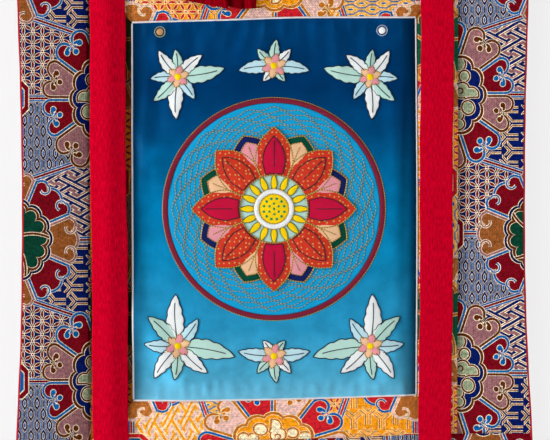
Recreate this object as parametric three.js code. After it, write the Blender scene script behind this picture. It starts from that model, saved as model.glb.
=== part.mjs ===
// An applique thangka: a picture of pieced satin in two frames of medallion brocade,
// with two ribbons and a gathered silk veil in front, hanging by its top edge.
//
// Millimetres, +Z up. The origin is the middle of the top edge, and the viewer stands on the -Y side.
// "Depth" is the distance below the top edge, so z = -depth, and "forward" is the distance towards
// the viewer, so y = -forward. Each piece of cloth is first laid out flat in x and depth, and then
// takes the forward shape in which the whole hanging falls.

import * as THREE from "three";

// ---------------------------------------------------------------- driving dimensions

const totalDepth = 760;
const gap = 0.3;
const stripWidth = 42;

const brocadeThickness = 1.6;
const satinThickness = 1.4;
const appliqueThickness = 1;
const ribbonThickness = 1;
const veilThickness = 1;

const bindingDiameter = 2.4;
const pipingDiameter = 2.2;

// The outer sides, waisted as the cloth hangs.
const sides = [
  { depth: 0, left: -261, right: 256 },
  { depth: 120, left: -257.6, right: 253 },
  { depth: 230, left: -253.6, right: 250 },
  { depth: 340, left: -252.2, right: 249 },
  { depth: 450, left: -253.5, right: 251 },
  { depth: 560, left: -258, right: 257 },
  { depth: totalDepth, left: -264.5, right: 264 },
];

// The seams that run down, between the outer and the inner frame.
const frameSides = [
  { depth: 100, left: -186.5, right: 183 },
  { depth: 330, left: -185, right: 182.8 },
  { depth: 560, left: -184.3, right: 182 },
];

// The picture's two upright edges, along the middle of the piping.
const pictureSides = [
  { depth: 142, left: -143, right: 140.8 },
  { depth: 330, left: -142.6, right: 142.2 },
  { depth: 518, left: -141.5, right: 141.2 },
];

// The picture's upper and lower edges, and the seam below the inner frame: none is quite level.
const pictureHead = [
  { x: -144, depth: 142.5 },
  { x: -50, depth: 140 },
  { x: 20, depth: 137.6 },
  { x: 141, depth: 137.4 },
];
const pictureFoot = [
  { x: -142, depth: 520.5 },
  { x: -50, depth: 520.1 },
  { x: 45, depth: 518.1 },
  { x: 141, depth: 514.7 },
];
const frameFoot = [
  { x: -262, depth: 561.5 },
  { x: -50, depth: 560.3 },
  { x: 60, depth: 558 },
  { x: 182, depth: 553.4 },
  { x: 257, depth: 552.8 },
];

// Soft upright folds of the whole hanging: how far each stands forward at three levels.
const folds = [
  { x: -222, halfWidth: 36, head: 1, middle: 5, hem: 3 },
  { x: -150, halfWidth: 34, head: 0, middle: -1.5, hem: -5 },
  { x: -75, halfWidth: 46, head: 0, middle: 1.2, hem: 8 },
  { x: 5, halfWidth: 40, head: 0, middle: 0, hem: -4 },
  { x: 80, halfWidth: 48, head: 0, middle: -1, hem: 7 },
  { x: 158, halfWidth: 34, head: 0, middle: 1.5, hem: -4 },
  { x: 224, halfWidth: 36, head: 1.5, middle: 5, hem: 4 },
];
const sideCurl = 7;
const sideCurlStart = 175;
const sideCurlWidth = 78;

// ---------------------------------------------------------------- curves and the way the cloth falls

// A smooth curve through the rows of a table, straight on past its ends.
function through(rows, from, to) {
  const slope = (a, b) => (b[to] - a[to]) / (b[from] - a[from]);
  const last = rows.length - 1;
  const tangents = rows.map((row, i) => {
    if (i === 0) return slope(rows[0], rows[1]);
    if (i === last) return slope(rows[last - 1], rows[last]);
    return slope(rows[i - 1], rows[i + 1]);
  });
  return (at) => {
    if (at <= rows[0][from]) return rows[0][to] + tangents[0] * (at - rows[0][from]);
    if (at >= rows[last][from]) return rows[last][to] + tangents[last] * (at - rows[last][from]);
    const i = rows.findIndex((row) => row[from] > at) - 1;
    const span = rows[i + 1][from] - rows[i][from];
    const t = (at - rows[i][from]) / span;
    const start = (1 + 2 * t) * (1 - t) ** 2 * rows[i][to] + t * (1 - t) ** 2 * span * tangents[i];
    const end = t * t * (3 - 2 * t) * rows[i + 1][to] + t * t * (t - 1) * span * tangents[i + 1];
    return start + end;
  };
}

const level = (depth) => () => depth;
const shifted = (line, by) => (at) => line(at) + by;
const mix = (a, b, t) => a + (b - a) * t;

const edgeLeft = through(sides, "depth", "left");
const edgeRight = through(sides, "depth", "right");
const frameLeft = through(frameSides, "depth", "left");
const frameRight = through(frameSides, "depth", "right");
const pictureLeft = through(pictureSides, "depth", "left");
const pictureRight = through(pictureSides, "depth", "right");
const headLine = through(pictureHead, "x", "depth");
const footLine = through(pictureFoot, "x", "depth");
const frameHeadLine = shifted(headLine, -stripWidth);
const frameFootLine = through(frameFoot, "x", "depth");

// How far the middle of the cloth stands forward. The sides curl forward most at mid height.
function forward(x, depth) {
  const t = THREE.MathUtils.clamp(depth / totalDepth, 0, 1);
  const headShare = (1 - t) ** 2;
  const middleShare = 4 * t * (1 - t);
  const hemShare = THREE.MathUtils.smoothstep(t, 0.66, 1);
  let sum = 0;
  for (const fold of folds) {
    const height = fold.head * headShare + fold.middle * middleShare + fold.hem * hemShare;
    sum += height * Math.exp(-(((x - fold.x) / fold.halfWidth) ** 2));
  }
  const past = Math.max(0, Math.abs(x) - sideCurlStart) / sideCurlWidth;
  return sum + sideCurl * middleShare * past * past;
}

// ---------------------------------------------------------------- solids

function meshOf(positions, triangles) {
  const geometry = new THREE.BufferGeometry();
  geometry.setAttribute("position", new THREE.Float32BufferAttribute(positions.flat(), 3));
  geometry.setIndex(triangles.flat());
  geometry.computeVertexNormals();
  return geometry;
}

// Turns a flat layout of [x, depth] points and triangles into a closed sheet. forwardAt gives the
// middle of the cloth; triangles run so that their front faces the viewer.
function clothOf(layout, forwardAt, thickness) {
  const count = layout.points.length;
  const half = thickness / 2;
  const front = layout.points.map(([x, depth]) => [x, -forwardAt(x, depth) - half, -depth]);
  const back = layout.points.map(([x, depth]) => [x, -forwardAt(x, depth) + half, -depth]);
  const triangles = [];
  const open = new Map();
  for (const [a, b, c] of layout.triangles) {
    triangles.push([a, b, c], [a + count, c + count, b + count]);
    for (const [from, to] of [[a, b], [b, c], [c, a]]) {
      if (!open.delete(to + ">" + from)) open.set(from + ">" + to, [from, to]);
    }
  }
  for (const [from, to] of open.values()) {
    triangles.push([to, from, from + count], [to, from + count, to + count]);
  }
  return meshOf([...front, ...back], triangles);
}

// A grid layout: place(u, v) gives [x, depth] for u from left to right and v from head to foot.
function gridLayout(place, columns, rows) {
  const points = [];
  const triangles = [];
  for (let j = 0; j <= rows; j++) {
    for (let i = 0; i <= columns; i++) points.push(place(i / columns, j / rows));
  }
  for (let j = 0; j < rows; j++) {
    for (let i = 0; i < columns; i++) {
      const a = j * (columns + 1) + i;
      const below = a + columns + 1;
      triangles.push([a, below, below + 1], [a, below + 1, a + 1]);
    }
  }
  return { points, triangles };
}

// A panel between two upright lines and two level lines, kept clear of each by its own margin.
function panel(left, right, head, foot, margins) {
  return (u, v) => {
    let x = mix(left(mix(head(0), foot(0), v)), right(mix(head(0), foot(0), v)), u);
    let depth = 0;
    for (let pass = 0; pass < 3; pass++) {
      depth = mix(head(x) + margins.head, foot(x) - margins.foot, v);
      x = mix(left(depth) + margins.left, right(depth) - margins.right, u);
    }
    return [x, depth];
  };
}

// A ring or a disc round a centre: its outer and inner radius may change with the angle.
function roundLayout(centre, outer, inner, sectors, rings) {
  const points = [];
  const triangles = [];
  const solidMiddle = inner === null;
  const firstRing = solidMiddle ? 1 : 0;
  for (let j = firstRing; j <= rings; j++) {
    for (let i = 0; i < sectors; i++) {
      const angle = (2 * Math.PI * i) / sectors;
      const radius = mix(solidMiddle ? 0 : inner(angle), outer(angle), j / rings);
      points.push([centre.x + radius * Math.sin(angle), centre.depth - radius * Math.cos(angle)]);
    }
  }
  for (let j = 0; j < rings - firstRing; j++) {
    for (let i = 0; i < sectors; i++) {
      const a = j * sectors + i;
      const b = j * sectors + ((i + 1) % sectors);
      triangles.push([a, b, b + sectors], [a, b + sectors, a + sectors]);
    }
  }
  if (solidMiddle) {
    points.push([centre.x, centre.depth]);
    for (let i = 0; i < sectors; i++) triangles.push([points.length - 1, (i + 1) % sectors, i]);
  }
  return { points, triangles };
}

// A round cord along a list of [x, depth] points, on the middle of the cloth.
function cordOf(places, diameter, steps, facets) {
  const path = new THREE.CatmullRomCurve3(
    places.map(([x, depth]) => new THREE.Vector3(x, -forward(x, depth), -depth)),
  );
  const corners = Array.from({ length: facets }, (_, i) => {
    const angle = (2 * Math.PI * i) / facets;
    return new THREE.Vector2(Math.cos(angle), Math.sin(angle)).multiplyScalar(diameter / 2);
  });
  return new THREE.ExtrudeGeometry(new THREE.Shape(corners), {
    steps,
    bevelEnabled: false,
    extrudePath: path,
  });
}

function part(name, geometry, colour, roughness) {
  const material = new THREE.MeshStandardMaterial({ color: colour, roughness });
  const mesh = new THREE.Mesh(geometry, material);
  mesh.name = name;
  return mesh;
}

// ---------------------------------------------------------------- outer frame

const navy = 0x1b2a6e;
const bindingRed = 0xb01428;

function outerFrame() {
  const group = new THREE.Group();
  const seam = gap / 2;
  const binding = bindingDiameter + gap;
  const brocade = (name, place, columns, rows) =>
    part(name, clothOf(gridLayout(place, columns, rows), forward, brocadeThickness), navy, 0.7);
  group.add(
    brocade(
      "outer_top",
      panel(edgeLeft, edgeRight, level(0), frameHeadLine,
        { left: binding, right: binding, head: 0, foot: seam }),
      18, 3,
    ),
    brocade(
      "outer_left",
      panel(edgeLeft, frameLeft, frameHeadLine, frameFootLine,
        { left: binding, right: seam, head: seam, foot: seam }),
      3, 14,
    ),
    brocade(
      "outer_right",
      panel(frameRight, edgeRight, frameHeadLine, frameFootLine,
        { left: seam, right: binding, head: seam, foot: seam }),
      3, 14,
    ),
    brocade(
      "outer_bottom",
      panel(edgeLeft, edgeRight, frameFootLine, level(totalDepth),
        { left: binding, right: binding, head: seam, foot: 0 }),
      20, 6,
    ),
  );
  return group;
}

function edgeBindings() {
  const group = new THREE.Group();
  const rows = 24;
  const inset = bindingDiameter / 2;
  const lengths = [
    { name: "binding_left", line: shifted(edgeLeft, inset) },
    { name: "binding_right", line: shifted(edgeRight, -inset) },
  ];
  for (const { name, line } of lengths) {
    const places = [];
    for (let i = 0; i <= rows; i++) {
      const depth = (totalDepth * i) / rows;
      places.push([line(depth), depth]);
    }
    group.add(part(name, cordOf(places, bindingDiameter, rows, 8), bindingRed, 0.6));
  }
  return group;
}

// ---------------------------------------------------------------- inner frame, mitred at its corners

const orange = 0xe08a1e;
const mitreStretch = 1.6; // a mitre runs aslant, so its gap is wider along a strip than across it

function innerFrame() {
  const group = new THREE.Group();
  const seam = gap / 2;
  const piping = pipingDiameter / 2 + gap;
  const corner = (side, end) => {
    const outerLine = end === "head" ? frameHeadLine : frameFootLine;
    const innerLine = end === "head" ? headLine : footLine;
    const outerSide = side === "left" ? frameLeft : frameRight;
    const innerSide = side === "left" ? pictureLeft : pictureRight;
    const outerX = outerSide(outerLine(0));
    const innerX = innerSide(innerLine(0));
    return { outer: [outerX, outerLine(outerX)], inner: [innerX, innerLine(innerX)] };
  };
  // Across a level strip v runs from head to foot; across an upright one u runs from left to right.
  const levelStrip = (outerLine, innerLine, end) => (u, v) => {
    const across = end === "head" ? v : 1 - v;
    const left = corner("left", end);
    const right = corner("right", end);
    const mitre = seam * mitreStretch;
    const from = mix(left.outer[0], left.inner[0], across) + mitre;
    const to = mix(right.outer[0], right.inner[0], across) - mitre;
    const x = mix(from, to, u);
    const sign = end === "head" ? 1 : -1;
    return [x, mix(outerLine(x) + sign * seam, innerLine(x) - sign * piping, across)];
  };
  const uprightStrip = (outerSide, innerSide, side) => (u, v) => {
    const across = side === "left" ? u : 1 - u;
    const head = corner(side, "head");
    const foot = corner(side, "foot");
    const mitre = seam * mitreStretch;
    const from = mix(head.outer[1], head.inner[1], across) + mitre;
    const to = mix(foot.outer[1], foot.inner[1], across) - mitre;
    const depth = mix(from, to, v);
    const sign = side === "left" ? 1 : -1;
    return [mix(outerSide(depth) + sign * seam, innerSide(depth) - sign * piping, across), depth];
  };
  const strip = (name, place, columns, rows) =>
    part(name, clothOf(gridLayout(place, columns, rows), forward, brocadeThickness), orange, 0.65);
  group.add(
    strip("inner_top", levelStrip(frameHeadLine, headLine, "head"), 14, 2),
    strip("inner_bottom", levelStrip(frameFootLine, footLine, "foot"), 14, 2),
    strip("inner_left", uprightStrip(frameLeft, pictureLeft, "left"), 2, 14),
    strip("inner_right", uprightStrip(frameRight, pictureRight, "right"), 2, 14),
  );
  return group;
}

// ---------------------------------------------------------------- the picture's satin and its piping

const satinBlue = 0x1668a0;
const pipingWhite = 0xeee6e6;

function field() {
  const edge = pipingDiameter / 2 + gap;
  const place = panel(pictureLeft, pictureRight, headLine, footLine,
    { left: edge, right: edge, head: edge, foot: edge });
  return part("field", clothOf(gridLayout(place, 12, 15), forward, satinThickness), satinBlue, 0.35);
}

function fieldPiping() {
  const group = new THREE.Group();
  const steps = 16;
  const butt = pipingDiameter / 2 + gap;
  const along = (place) => Array.from({ length: steps + 1 }, (_, i) => place(i / steps));
  const levelLength = (line) => (t) => {
    const x = mix(pictureLeft(line(0)), pictureRight(line(0)), t);
    return [x, line(x)];
  };
  const uprightLength = (side) => (t) => {
    const x = side(330);
    const depth = mix(headLine(x) + butt, footLine(x) - butt, t);
    return [side(depth), depth];
  };
  const lengths = [
    { name: "piping_top", place: levelLength(headLine) },
    { name: "piping_bottom", place: levelLength(footLine) },
    { name: "piping_left", place: uprightLength(pictureLeft) },
    { name: "piping_right", place: uprightLength(pictureRight) },
  ];
  for (const { name, place } of lengths) {
    group.add(part(name, cordOf(along(place), pipingDiameter, steps, 6), pipingWhite, 0.6));
  }
  return group;
}

// ---------------------------------------------------------------- applique

const medallion = { x: -1, depth: 329 };
const rimOuter = 111;
const rimInner = 106;
const redPetals = { count: 8, tip: 82, notch: 50, root: 34, turn: 0 };
const greenPetals = { count: 8, tip: 79, notch: 60, root: 40, turn: Math.PI / 8 };
const mintRadius = 38.5;
const whiteOuter = 20;
const whiteInner = 15;
const appliqueRest = 0.45; // from the satin's face to the back of the lowest layer
const layerClear = 0.35; // between one layer and the next

// The middle of the cloth of an applique layer: layer 0 lies on the satin, 1 on layer 0, and so on.
const onLayer = (layer) => (x, depth) =>
  forward(x, depth) + satinThickness / 2 + appliqueRest + appliqueThickness / 2
  + layer * (appliqueThickness + layerClear);

// The outline of pointed petals: full shoulders that run up to a small sharp tip.
const petalOutline = ({ count, tip, notch, turn }) => (angle) => {
  const share = (((angle - turn) * count) / (2 * Math.PI) + count) % 1;
  const rise = Math.abs(share - 0.5) * 2;
  return mix(notch, tip, 0.8 * (1 - (1 - rise) ** 2) + 0.2 * rise ** 4);
};

function medallionPieces() {
  const group = new THREE.Group();
  const steady = (radius) => () => radius;
  const pieces = [
    { name: "rim", colour: 0x7a1428, layer: 0, sectors: 40, rings: 1,
      outer: steady(rimOuter), inner: steady(rimInner + gap) },
    { name: "sky_disc", colour: 0x5aa6d6, layer: 0, sectors: 40, rings: 2,
      outer: steady(rimInner), inner: null },
    { name: "green_petals", colour: 0x1f5a4a, layer: 1, sectors: 48, rings: 1,
      outer: petalOutline(greenPetals), inner: steady(greenPetals.root) },
    { name: "mint_disc", colour: 0xaadcd0, layer: 1, sectors: 24, rings: 1,
      outer: steady(mintRadius), inner: null },
    { name: "red_petals", colour: 0xc22a22, layer: 2, sectors: 48, rings: 1,
      outer: petalOutline(redPetals), inner: steady(redPetals.root) },
    { name: "white_ring", colour: 0xf2efe6, layer: 2, sectors: 24, rings: 1,
      outer: steady(whiteOuter), inner: steady(whiteInner + gap) },
    { name: "yellow_centre", colour: 0xf2c81e, layer: 2, sectors: 24, rings: 1,
      outer: steady(whiteInner), inner: null },
  ];
  for (const piece of pieces) {
    const layout = roundLayout(medallion, piece.outer, piece.inner, piece.sectors, piece.rings);
    const cloth = clothOf(layout, onLayer(piece.layer), appliqueThickness);
    group.add(part(piece.name, cloth, piece.colour, 0.5));
  }
  return group;
}

// Two small padded discs in the picture's upper corners, golden on the left and white on the right.
const smallDiscRadius = 3.4;
const smallDiscs = [
  { name: "small_disc_left", x: -115, depth: 152, colour: 0xd08a50 },
  { name: "small_disc_right", x: 107, depth: 150.5, colour: 0xf2efe6 },
];

function smallDisc({ name, x, depth, colour }) {
  const layout = roundLayout({ x, depth }, () => smallDiscRadius, null, 16, 1);
  return part(name, clothOf(layout, onLayer(0), appliqueThickness), colour, 0.5);
}

// Leaf sprays: leaves radiate from a flower. Each row is one spray; side mirrors its leaves.
const sprays = [
  { name: "spray_upper_left", x: -97, depth: 197, side: -1, flip: 1, scale: 0.82 },
  { name: "spray_upper_right", x: 95, depth: 197, side: 1, flip: 1, scale: 0.82 },
  { name: "spray_lower_left", x: -97, depth: 466, side: -1, flip: -1, scale: 1 },
  { name: "spray_lower_right", x: 95, depth: 466, side: 1, flip: -1, scale: 1 },
];

// Leaves of a corner spray, as if in the upper right corner: heading in degrees from straight up,
// clockwise.
const sprayLeaves = [
  { heading: 0, reach: 34 },
  { heading: 42, reach: 40 },
  { heading: 88, reach: 34 },
  { heading: 140, reach: 42 },
  { heading: 172, reach: 52 },
  { heading: 222, reach: 34 },
  { heading: 275, reach: 58 },
  { heading: 318, reach: 40 },
];

// Leaves of the two small sprigs above and below the medallion.
const sprigs = [
  { name: "sprig_upper", x: -1, depth: 186, flip: 1 },
  { name: "sprig_lower", x: -1, depth: 476, flip: -1 },
];
const sprigLeaves = [
  { heading: 0, reach: 27 },
  { heading: 50, reach: 24 },
  { heading: 92, reach: 36 },
  { heading: 150, reach: 19 },
  { heading: 210, reach: 19 },
  { heading: 268, reach: 36 },
  { heading: 310, reach: 24 },
];

// The outline of leaves round a centre: a tip, a shoulder on each side, and a notch between leaves.
function leafLayout(centre, leaves, side, flip, scale) {
  const outline = [];
  leaves.forEach((leaf, i) => {
    const next = leaves[(i + 1) % leaves.length];
    const nextHeading = next.heading + (i + 1 === leaves.length ? 360 : 0);
    const spread = Math.min(14, (nextHeading - leaf.heading) / 3);
    outline.push({ heading: leaf.heading - spread, radius: leaf.reach * 0.68 });
    outline.push({ heading: leaf.heading, radius: leaf.reach });
    outline.push({ heading: leaf.heading + spread, radius: leaf.reach * 0.68 });
    outline.push({ heading: (leaf.heading + nextHeading) / 2, radius: 13 });
  });
  const points = outline.map(({ heading, radius }) => {
    const angle = THREE.MathUtils.degToRad(heading);
    return [
      centre.x + side * scale * radius * Math.sin(angle),
      centre.depth - flip * scale * radius * Math.cos(angle),
    ];
  });
  const middle = points.length;
  points.push([centre.x, centre.depth]);
  const turned = side * flip > 0;
  const triangles = outline.map((_, i) => {
    const next = (i + 1) % outline.length;
    return turned ? [middle, next, i] : [middle, i, next];
  });
  return { points, triangles };
}

function leafSprays() {
  const group = new THREE.Group();
  const mint = 0xbfe3d6;
  for (const spray of sprays) {
    const layout = leafLayout(spray, sprayLeaves, spray.side, spray.flip, spray.scale);
    group.add(part(spray.name, clothOf(layout, onLayer(0), appliqueThickness), mint, 0.5));
  }
  for (const sprig of sprigs) {
    const layout = leafLayout(sprig, sprigLeaves, 1, sprig.flip, 1);
    group.add(part(sprig.name, clothOf(layout, onLayer(0), appliqueThickness), mint, 0.5));
  }
  return group;
}

// ---------------------------------------------------------------- ribbons

const crimson = 0xc0042c;
const ribbonFoot = 705;
const ribbonClear = 7;
const ribbonCaught = { from: 4, to: 40 };
const ribbonWave = { height: 1.5, depth: 52 };
const crestHalfWidth = 0.3;
const ribbons = [
  { name: "ribbon_left", headLeft: -186, headRight: -151, footLeft: -179.5, footRight: -144.5,
    crest: 0.42, crestHeight: 2.4, turned: 3.2 },
  { name: "ribbon_right", headLeft: 145.6, headRight: 178.6, footLeft: 142.4, footRight: 175,
    crest: 0.35, crestHeight: 1, turned: 0.4 },
];

// Each ribbon is caught at the top edge and then hangs clear of the cloth behind, with one soft
// upright crest and slow waves down its length. Its right edge turns back a little.
function ribbon(row) {
  const forwardAt = (x, depth) => {
    const t = depth / ribbonFoot;
    const left = mix(row.headLeft, row.footLeft, t);
    const right = mix(row.headRight, row.footRight, t);
    const u = (x - left) / (right - left);
    const caught = 1 - THREE.MathUtils.smoothstep(depth, ribbonCaught.from, ribbonCaught.to);
    const wave = ribbonWave.height * (1 + Math.sin(depth / ribbonWave.depth + row.crest * 5));
    const crest = row.crestHeight * Math.exp(-(((u - row.crest) / crestHalfWidth) ** 2));
    const behind = Math.max(forward(left, depth), forward((left + right) / 2, depth), forward(right, depth));
    const turned = 2 * row.turned * THREE.MathUtils.smoothstep(u, 0.5, 1.15);
    const hanging = behind + ribbonClear + wave + crest - turned;
    const sewn = behind + gap;
    return mix(hanging, sewn, caught) + brocadeThickness / 2 + ribbonThickness / 2;
  };
  const place = (u, v) => {
    const left = mix(row.headLeft, row.footLeft, v);
    const right = mix(row.headRight, row.footRight, v);
    return [mix(left, right, u), mix(0.5, ribbonFoot, v)];
  };
  return part(row.name, clothOf(gridLayout(place, 4, 22), forwardAt, ribbonThickness), crimson, 0.45);
}

// ---------------------------------------------------------------- veil

// The gathered veil: each row is one fold or hollow of its section, from left to right. Its hem
// rounds upward on the left, and the cloth doubles back behind the ninth fold.
const veilFolds = [
  { head: -142, foot: -136, out: 4, hem: 84 },
  { head: -136, foot: -129, out: 7, hem: 101 },
  { head: -128, foot: -119, out: 5, hem: 110 },
  { head: -119, foot: -107, out: 9, hem: 115.6 },
  { head: -110, foot: -95, out: 7, hem: 118.7 },
  { head: -101, foot: -83, out: 11, hem: 121.2 },
  { head: -92, foot: -71, out: 9, hem: 123.5 },
  { head: -84, foot: -59, out: 13, hem: 126 },
  { head: -76, foot: -46.5, out: 15, hem: 128.5 },
  { head: -82, foot: -52, out: 9, hem: 127.4 },
  { head: -70, foot: -45, out: 4, hem: 125.6 },
  { head: -56, foot: -38, out: 9, hem: 127.6 },
  { head: -42, foot: -31, out: 4, hem: 127.8 },
  { head: -26, foot: -25, out: 10, hem: 127.9 },
  { head: -12, foot: -19, out: 5, hem: 127.4 },
];
const veilLevels = [0.004, 0.08, 0.25, 0.45, 0.65, 0.85, 1];
const veilSteps = 2;
const veilRest = 0.6; // from the cloth behind to the veil's hollows
const gathered = { share: 0.45, below: 0.25 }; // folds are shallow at the head and full below it

function veil() {
  const along = veilFolds.map((row, i) => ({ ...row, i }));
  const headX = through(along, "i", "head");
  const footX = through(along, "i", "foot");
  const outBy = through(along, "i", "out");
  const hemDepth = through(along, "i", "hem");
  const count = (veilFolds.length - 1) * veilSteps + 1;
  const positions = [];
  for (const v of veilLevels) {
    const section = [];
    for (let k = 0; k < count; k++) {
      const i = k / veilSteps;
      const x = mix(headX(i), footX(i), v);
      const depth = v * hemDepth(i);
      const fullness = THREE.MathUtils.smoothstep(v, 0, gathered.below);
      const rest = brocadeThickness / 2 + veilThickness / 2 + veilRest;
      const out = mix(gathered.share, 1, fullness) * outBy(i);
      section.push([x, -(forward(x, depth) + rest + out), -depth]);
    }
    for (let k = 0; k < count; k++) {
      const before = section[Math.max(0, k - 1)];
      const after = section[Math.min(count - 1, k + 1)];
      const heading = new THREE.Vector2(after[0] - before[0], after[1] - before[1]).normalize();
      const across = [heading.y, -heading.x];
      for (const side of [veilThickness / 2, -veilThickness / 2]) {
        const [x, y, z] = section[k];
        positions.push([x + across[0] * side, y + across[1] * side, z]);
      }
    }
  }
  const triangles = [];
  const quad = (a, b, c, d) => triangles.push([a, b, c], [a, c, d]);
  const at = (j, k, side) => (j * count + k) * 2 + side;
  const last = veilLevels.length - 1;
  for (let j = 0; j < last; j++) {
    for (let k = 0; k < count - 1; k++) {
      quad(at(j, k, 0), at(j + 1, k, 0), at(j + 1, k + 1, 0), at(j, k + 1, 0));
      quad(at(j, k, 1), at(j, k + 1, 1), at(j + 1, k + 1, 1), at(j + 1, k, 1));
    }
    quad(at(j, 0, 1), at(j + 1, 0, 1), at(j + 1, 0, 0), at(j, 0, 0));
    quad(at(j, count - 1, 0), at(j + 1, count - 1, 0), at(j + 1, count - 1, 1), at(j, count - 1, 1));
  }
  for (let k = 0; k < count - 1; k++) {
    quad(at(0, k, 1), at(0, k, 0), at(0, k + 1, 0), at(0, k + 1, 1));
    quad(at(last, k, 0), at(last, k, 1), at(last, k + 1, 1), at(last, k + 1, 0));
  }
  return part("veil", meshOf(positions, triangles), 0xa8102c, 0.4);
}

// ---------------------------------------------------------------- the whole hanging

const thangka = new THREE.Group();
const picture = new THREE.Group();
picture.add(field(), fieldPiping(), medallionPieces(), ...smallDiscs.map(smallDisc), leafSprays());
thangka.add(outerFrame(), edgeBindings(), innerFrame(), picture, ...ribbons.map(ribbon), veil());

export default thangka;
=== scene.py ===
# %% [markdown]
# An applique thangka hangs by its top edge: a picture of pieced satin, an inner frame of orange
# brocade, an outer frame of navy brocade, two crimson ribbons and a gathered silk veil. The packed
# CAD model gives the place of every piece. This script loads it as a fixed frame, and makes over it
# the cloth, cords and stitches that are too fine for CAD.

# %% Load the frame
from functools import partial, reduce
from math import atan, cos, pi, radians, sin

import bpy
import numpy as np
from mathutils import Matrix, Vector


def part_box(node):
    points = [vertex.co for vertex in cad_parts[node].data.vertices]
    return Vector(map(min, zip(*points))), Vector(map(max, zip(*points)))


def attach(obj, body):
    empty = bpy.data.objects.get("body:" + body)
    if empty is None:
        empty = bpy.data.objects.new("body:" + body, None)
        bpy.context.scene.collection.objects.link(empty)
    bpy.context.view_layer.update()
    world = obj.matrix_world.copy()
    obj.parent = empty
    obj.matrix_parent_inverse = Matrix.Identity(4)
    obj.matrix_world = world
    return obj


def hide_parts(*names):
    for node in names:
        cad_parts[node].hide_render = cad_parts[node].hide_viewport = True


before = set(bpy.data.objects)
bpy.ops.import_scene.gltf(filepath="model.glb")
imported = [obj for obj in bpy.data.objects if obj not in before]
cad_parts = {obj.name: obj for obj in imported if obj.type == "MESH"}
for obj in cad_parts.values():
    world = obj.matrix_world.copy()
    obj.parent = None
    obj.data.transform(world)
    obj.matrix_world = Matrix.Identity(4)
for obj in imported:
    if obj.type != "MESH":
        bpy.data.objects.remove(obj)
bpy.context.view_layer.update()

# %% [markdown]
# Cloth is cut and sewn in millimetres, so this script works in millimetres and turns them into
# Blender's metres only when a mesh is made. "Depth" is the distance below the top edge, and
# "forward" the distance towards the viewer, who stands on the -Y side. The sizes that the frame
# holds are read from it, not written again.

# %% Millimetres, and what the frame says
MM = 0.001


def node_box(name):
    """The lowest and highest corner of a CAD node, in millimetres."""
    low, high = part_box(name)
    return np.array(low) / MM, np.array(high) / MM


def node_centre(name):
    """The middle of a CAD node as x and depth."""
    low, high = node_box(name)
    return (low[0] + high[0]) / 2, -(low[2] + high[2]) / 2


total_depth = round(-node_box("outer_bottom")[0][2])
ribbon_foot = round(-node_box("ribbon_left")[0][2])
medallion_x, medallion_depth = node_centre("rim")
print("depth", total_depth, "ribbons", ribbon_foot, "medallion", medallion_x, medallion_depth)

# %% [markdown]
# The camera looks straight at the hanging from a little over two metres, and takes in its middle
# only. Its sizes are in metres. It comes first, so that every later piece can be judged in the same
# view.

# %% Camera
view_distance = 2.2
view_width = 0.55
view_depth = 0.34
camera_data = bpy.data.cameras.new("camera")
camera_data.sensor_width = 36
camera_data.lens = camera_data.sensor_width * view_distance / view_width
camera = bpy.data.objects.new("camera", camera_data)
camera.location = (0, -view_distance, -view_depth)
camera.rotation_euler = (radians(90), 0, 0)
bpy.context.scene.collection.objects.link(camera)
bpy.context.scene.camera = camera
bpy.context.scene.view_settings.view_transform = "Standard"
print("camera:", view_distance, "m away, its view", view_width, "m wide")

# %% [markdown]
# Nothing on hand-sewn cloth is quite straight. A line that wavers is a short table of places and a
# smooth curve through them: a cubic for each span, whose slope at every place is that of the line
# between its two neighbours.

# %% Curves through a few places
def through(rows, start, end):
    """A smooth curve through the rows of a table, from column start to column end."""
    place = np.array([row[start] for row in rows], float)
    value = np.array([row[end] for row in rows], float)
    slope = np.gradient(value, place, edge_order=1)
    slope[1:-1] = (value[2:] - value[:-2]) / (place[2:] - place[:-2])

    def curve(at):
        at = np.asarray(at, float)
        i = np.clip(np.searchsorted(place, at, side="right") - 1, 0, len(place) - 2)
        span = place[i + 1] - place[i]
        t = (at - place[i]) / span
        inside = (
            (1 + 2 * t) * (1 - t) ** 2 * value[i]
            + t * (1 - t) ** 2 * span * slope[i]
            + t * t * (3 - 2 * t) * value[i + 1]
            + t * t * (t - 1) * span * slope[i + 1]
        )
        before = value[0] + slope[0] * (at - place[0])
        after = value[-1] + slope[-1] * (at - place[-1])
        return np.where(at < place[0], before, np.where(at > place[-1], after, inside))

    return curve


def mix(a, b, t):
    """The place a share t of the way from a to b."""
    return a + (b - a) * t


def smooth(low, high, at):
    """An S-shaped rise from 0 at low to 1 at high."""
    t = np.clip((at - low) / (high - low), 0, 1)
    return t * t * (3 - 2 * t)


# %% [markdown]
# The mounting is waisted: its sides draw in at mid height, where the inner frame is sewn in, and its
# seams lean a little. Each line is such a table. An upright one gives x at a few depths, and a level
# one gives the depth at a few x. The picture lies inside the inner frame, whose strips are all cut to
# one width.

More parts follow.
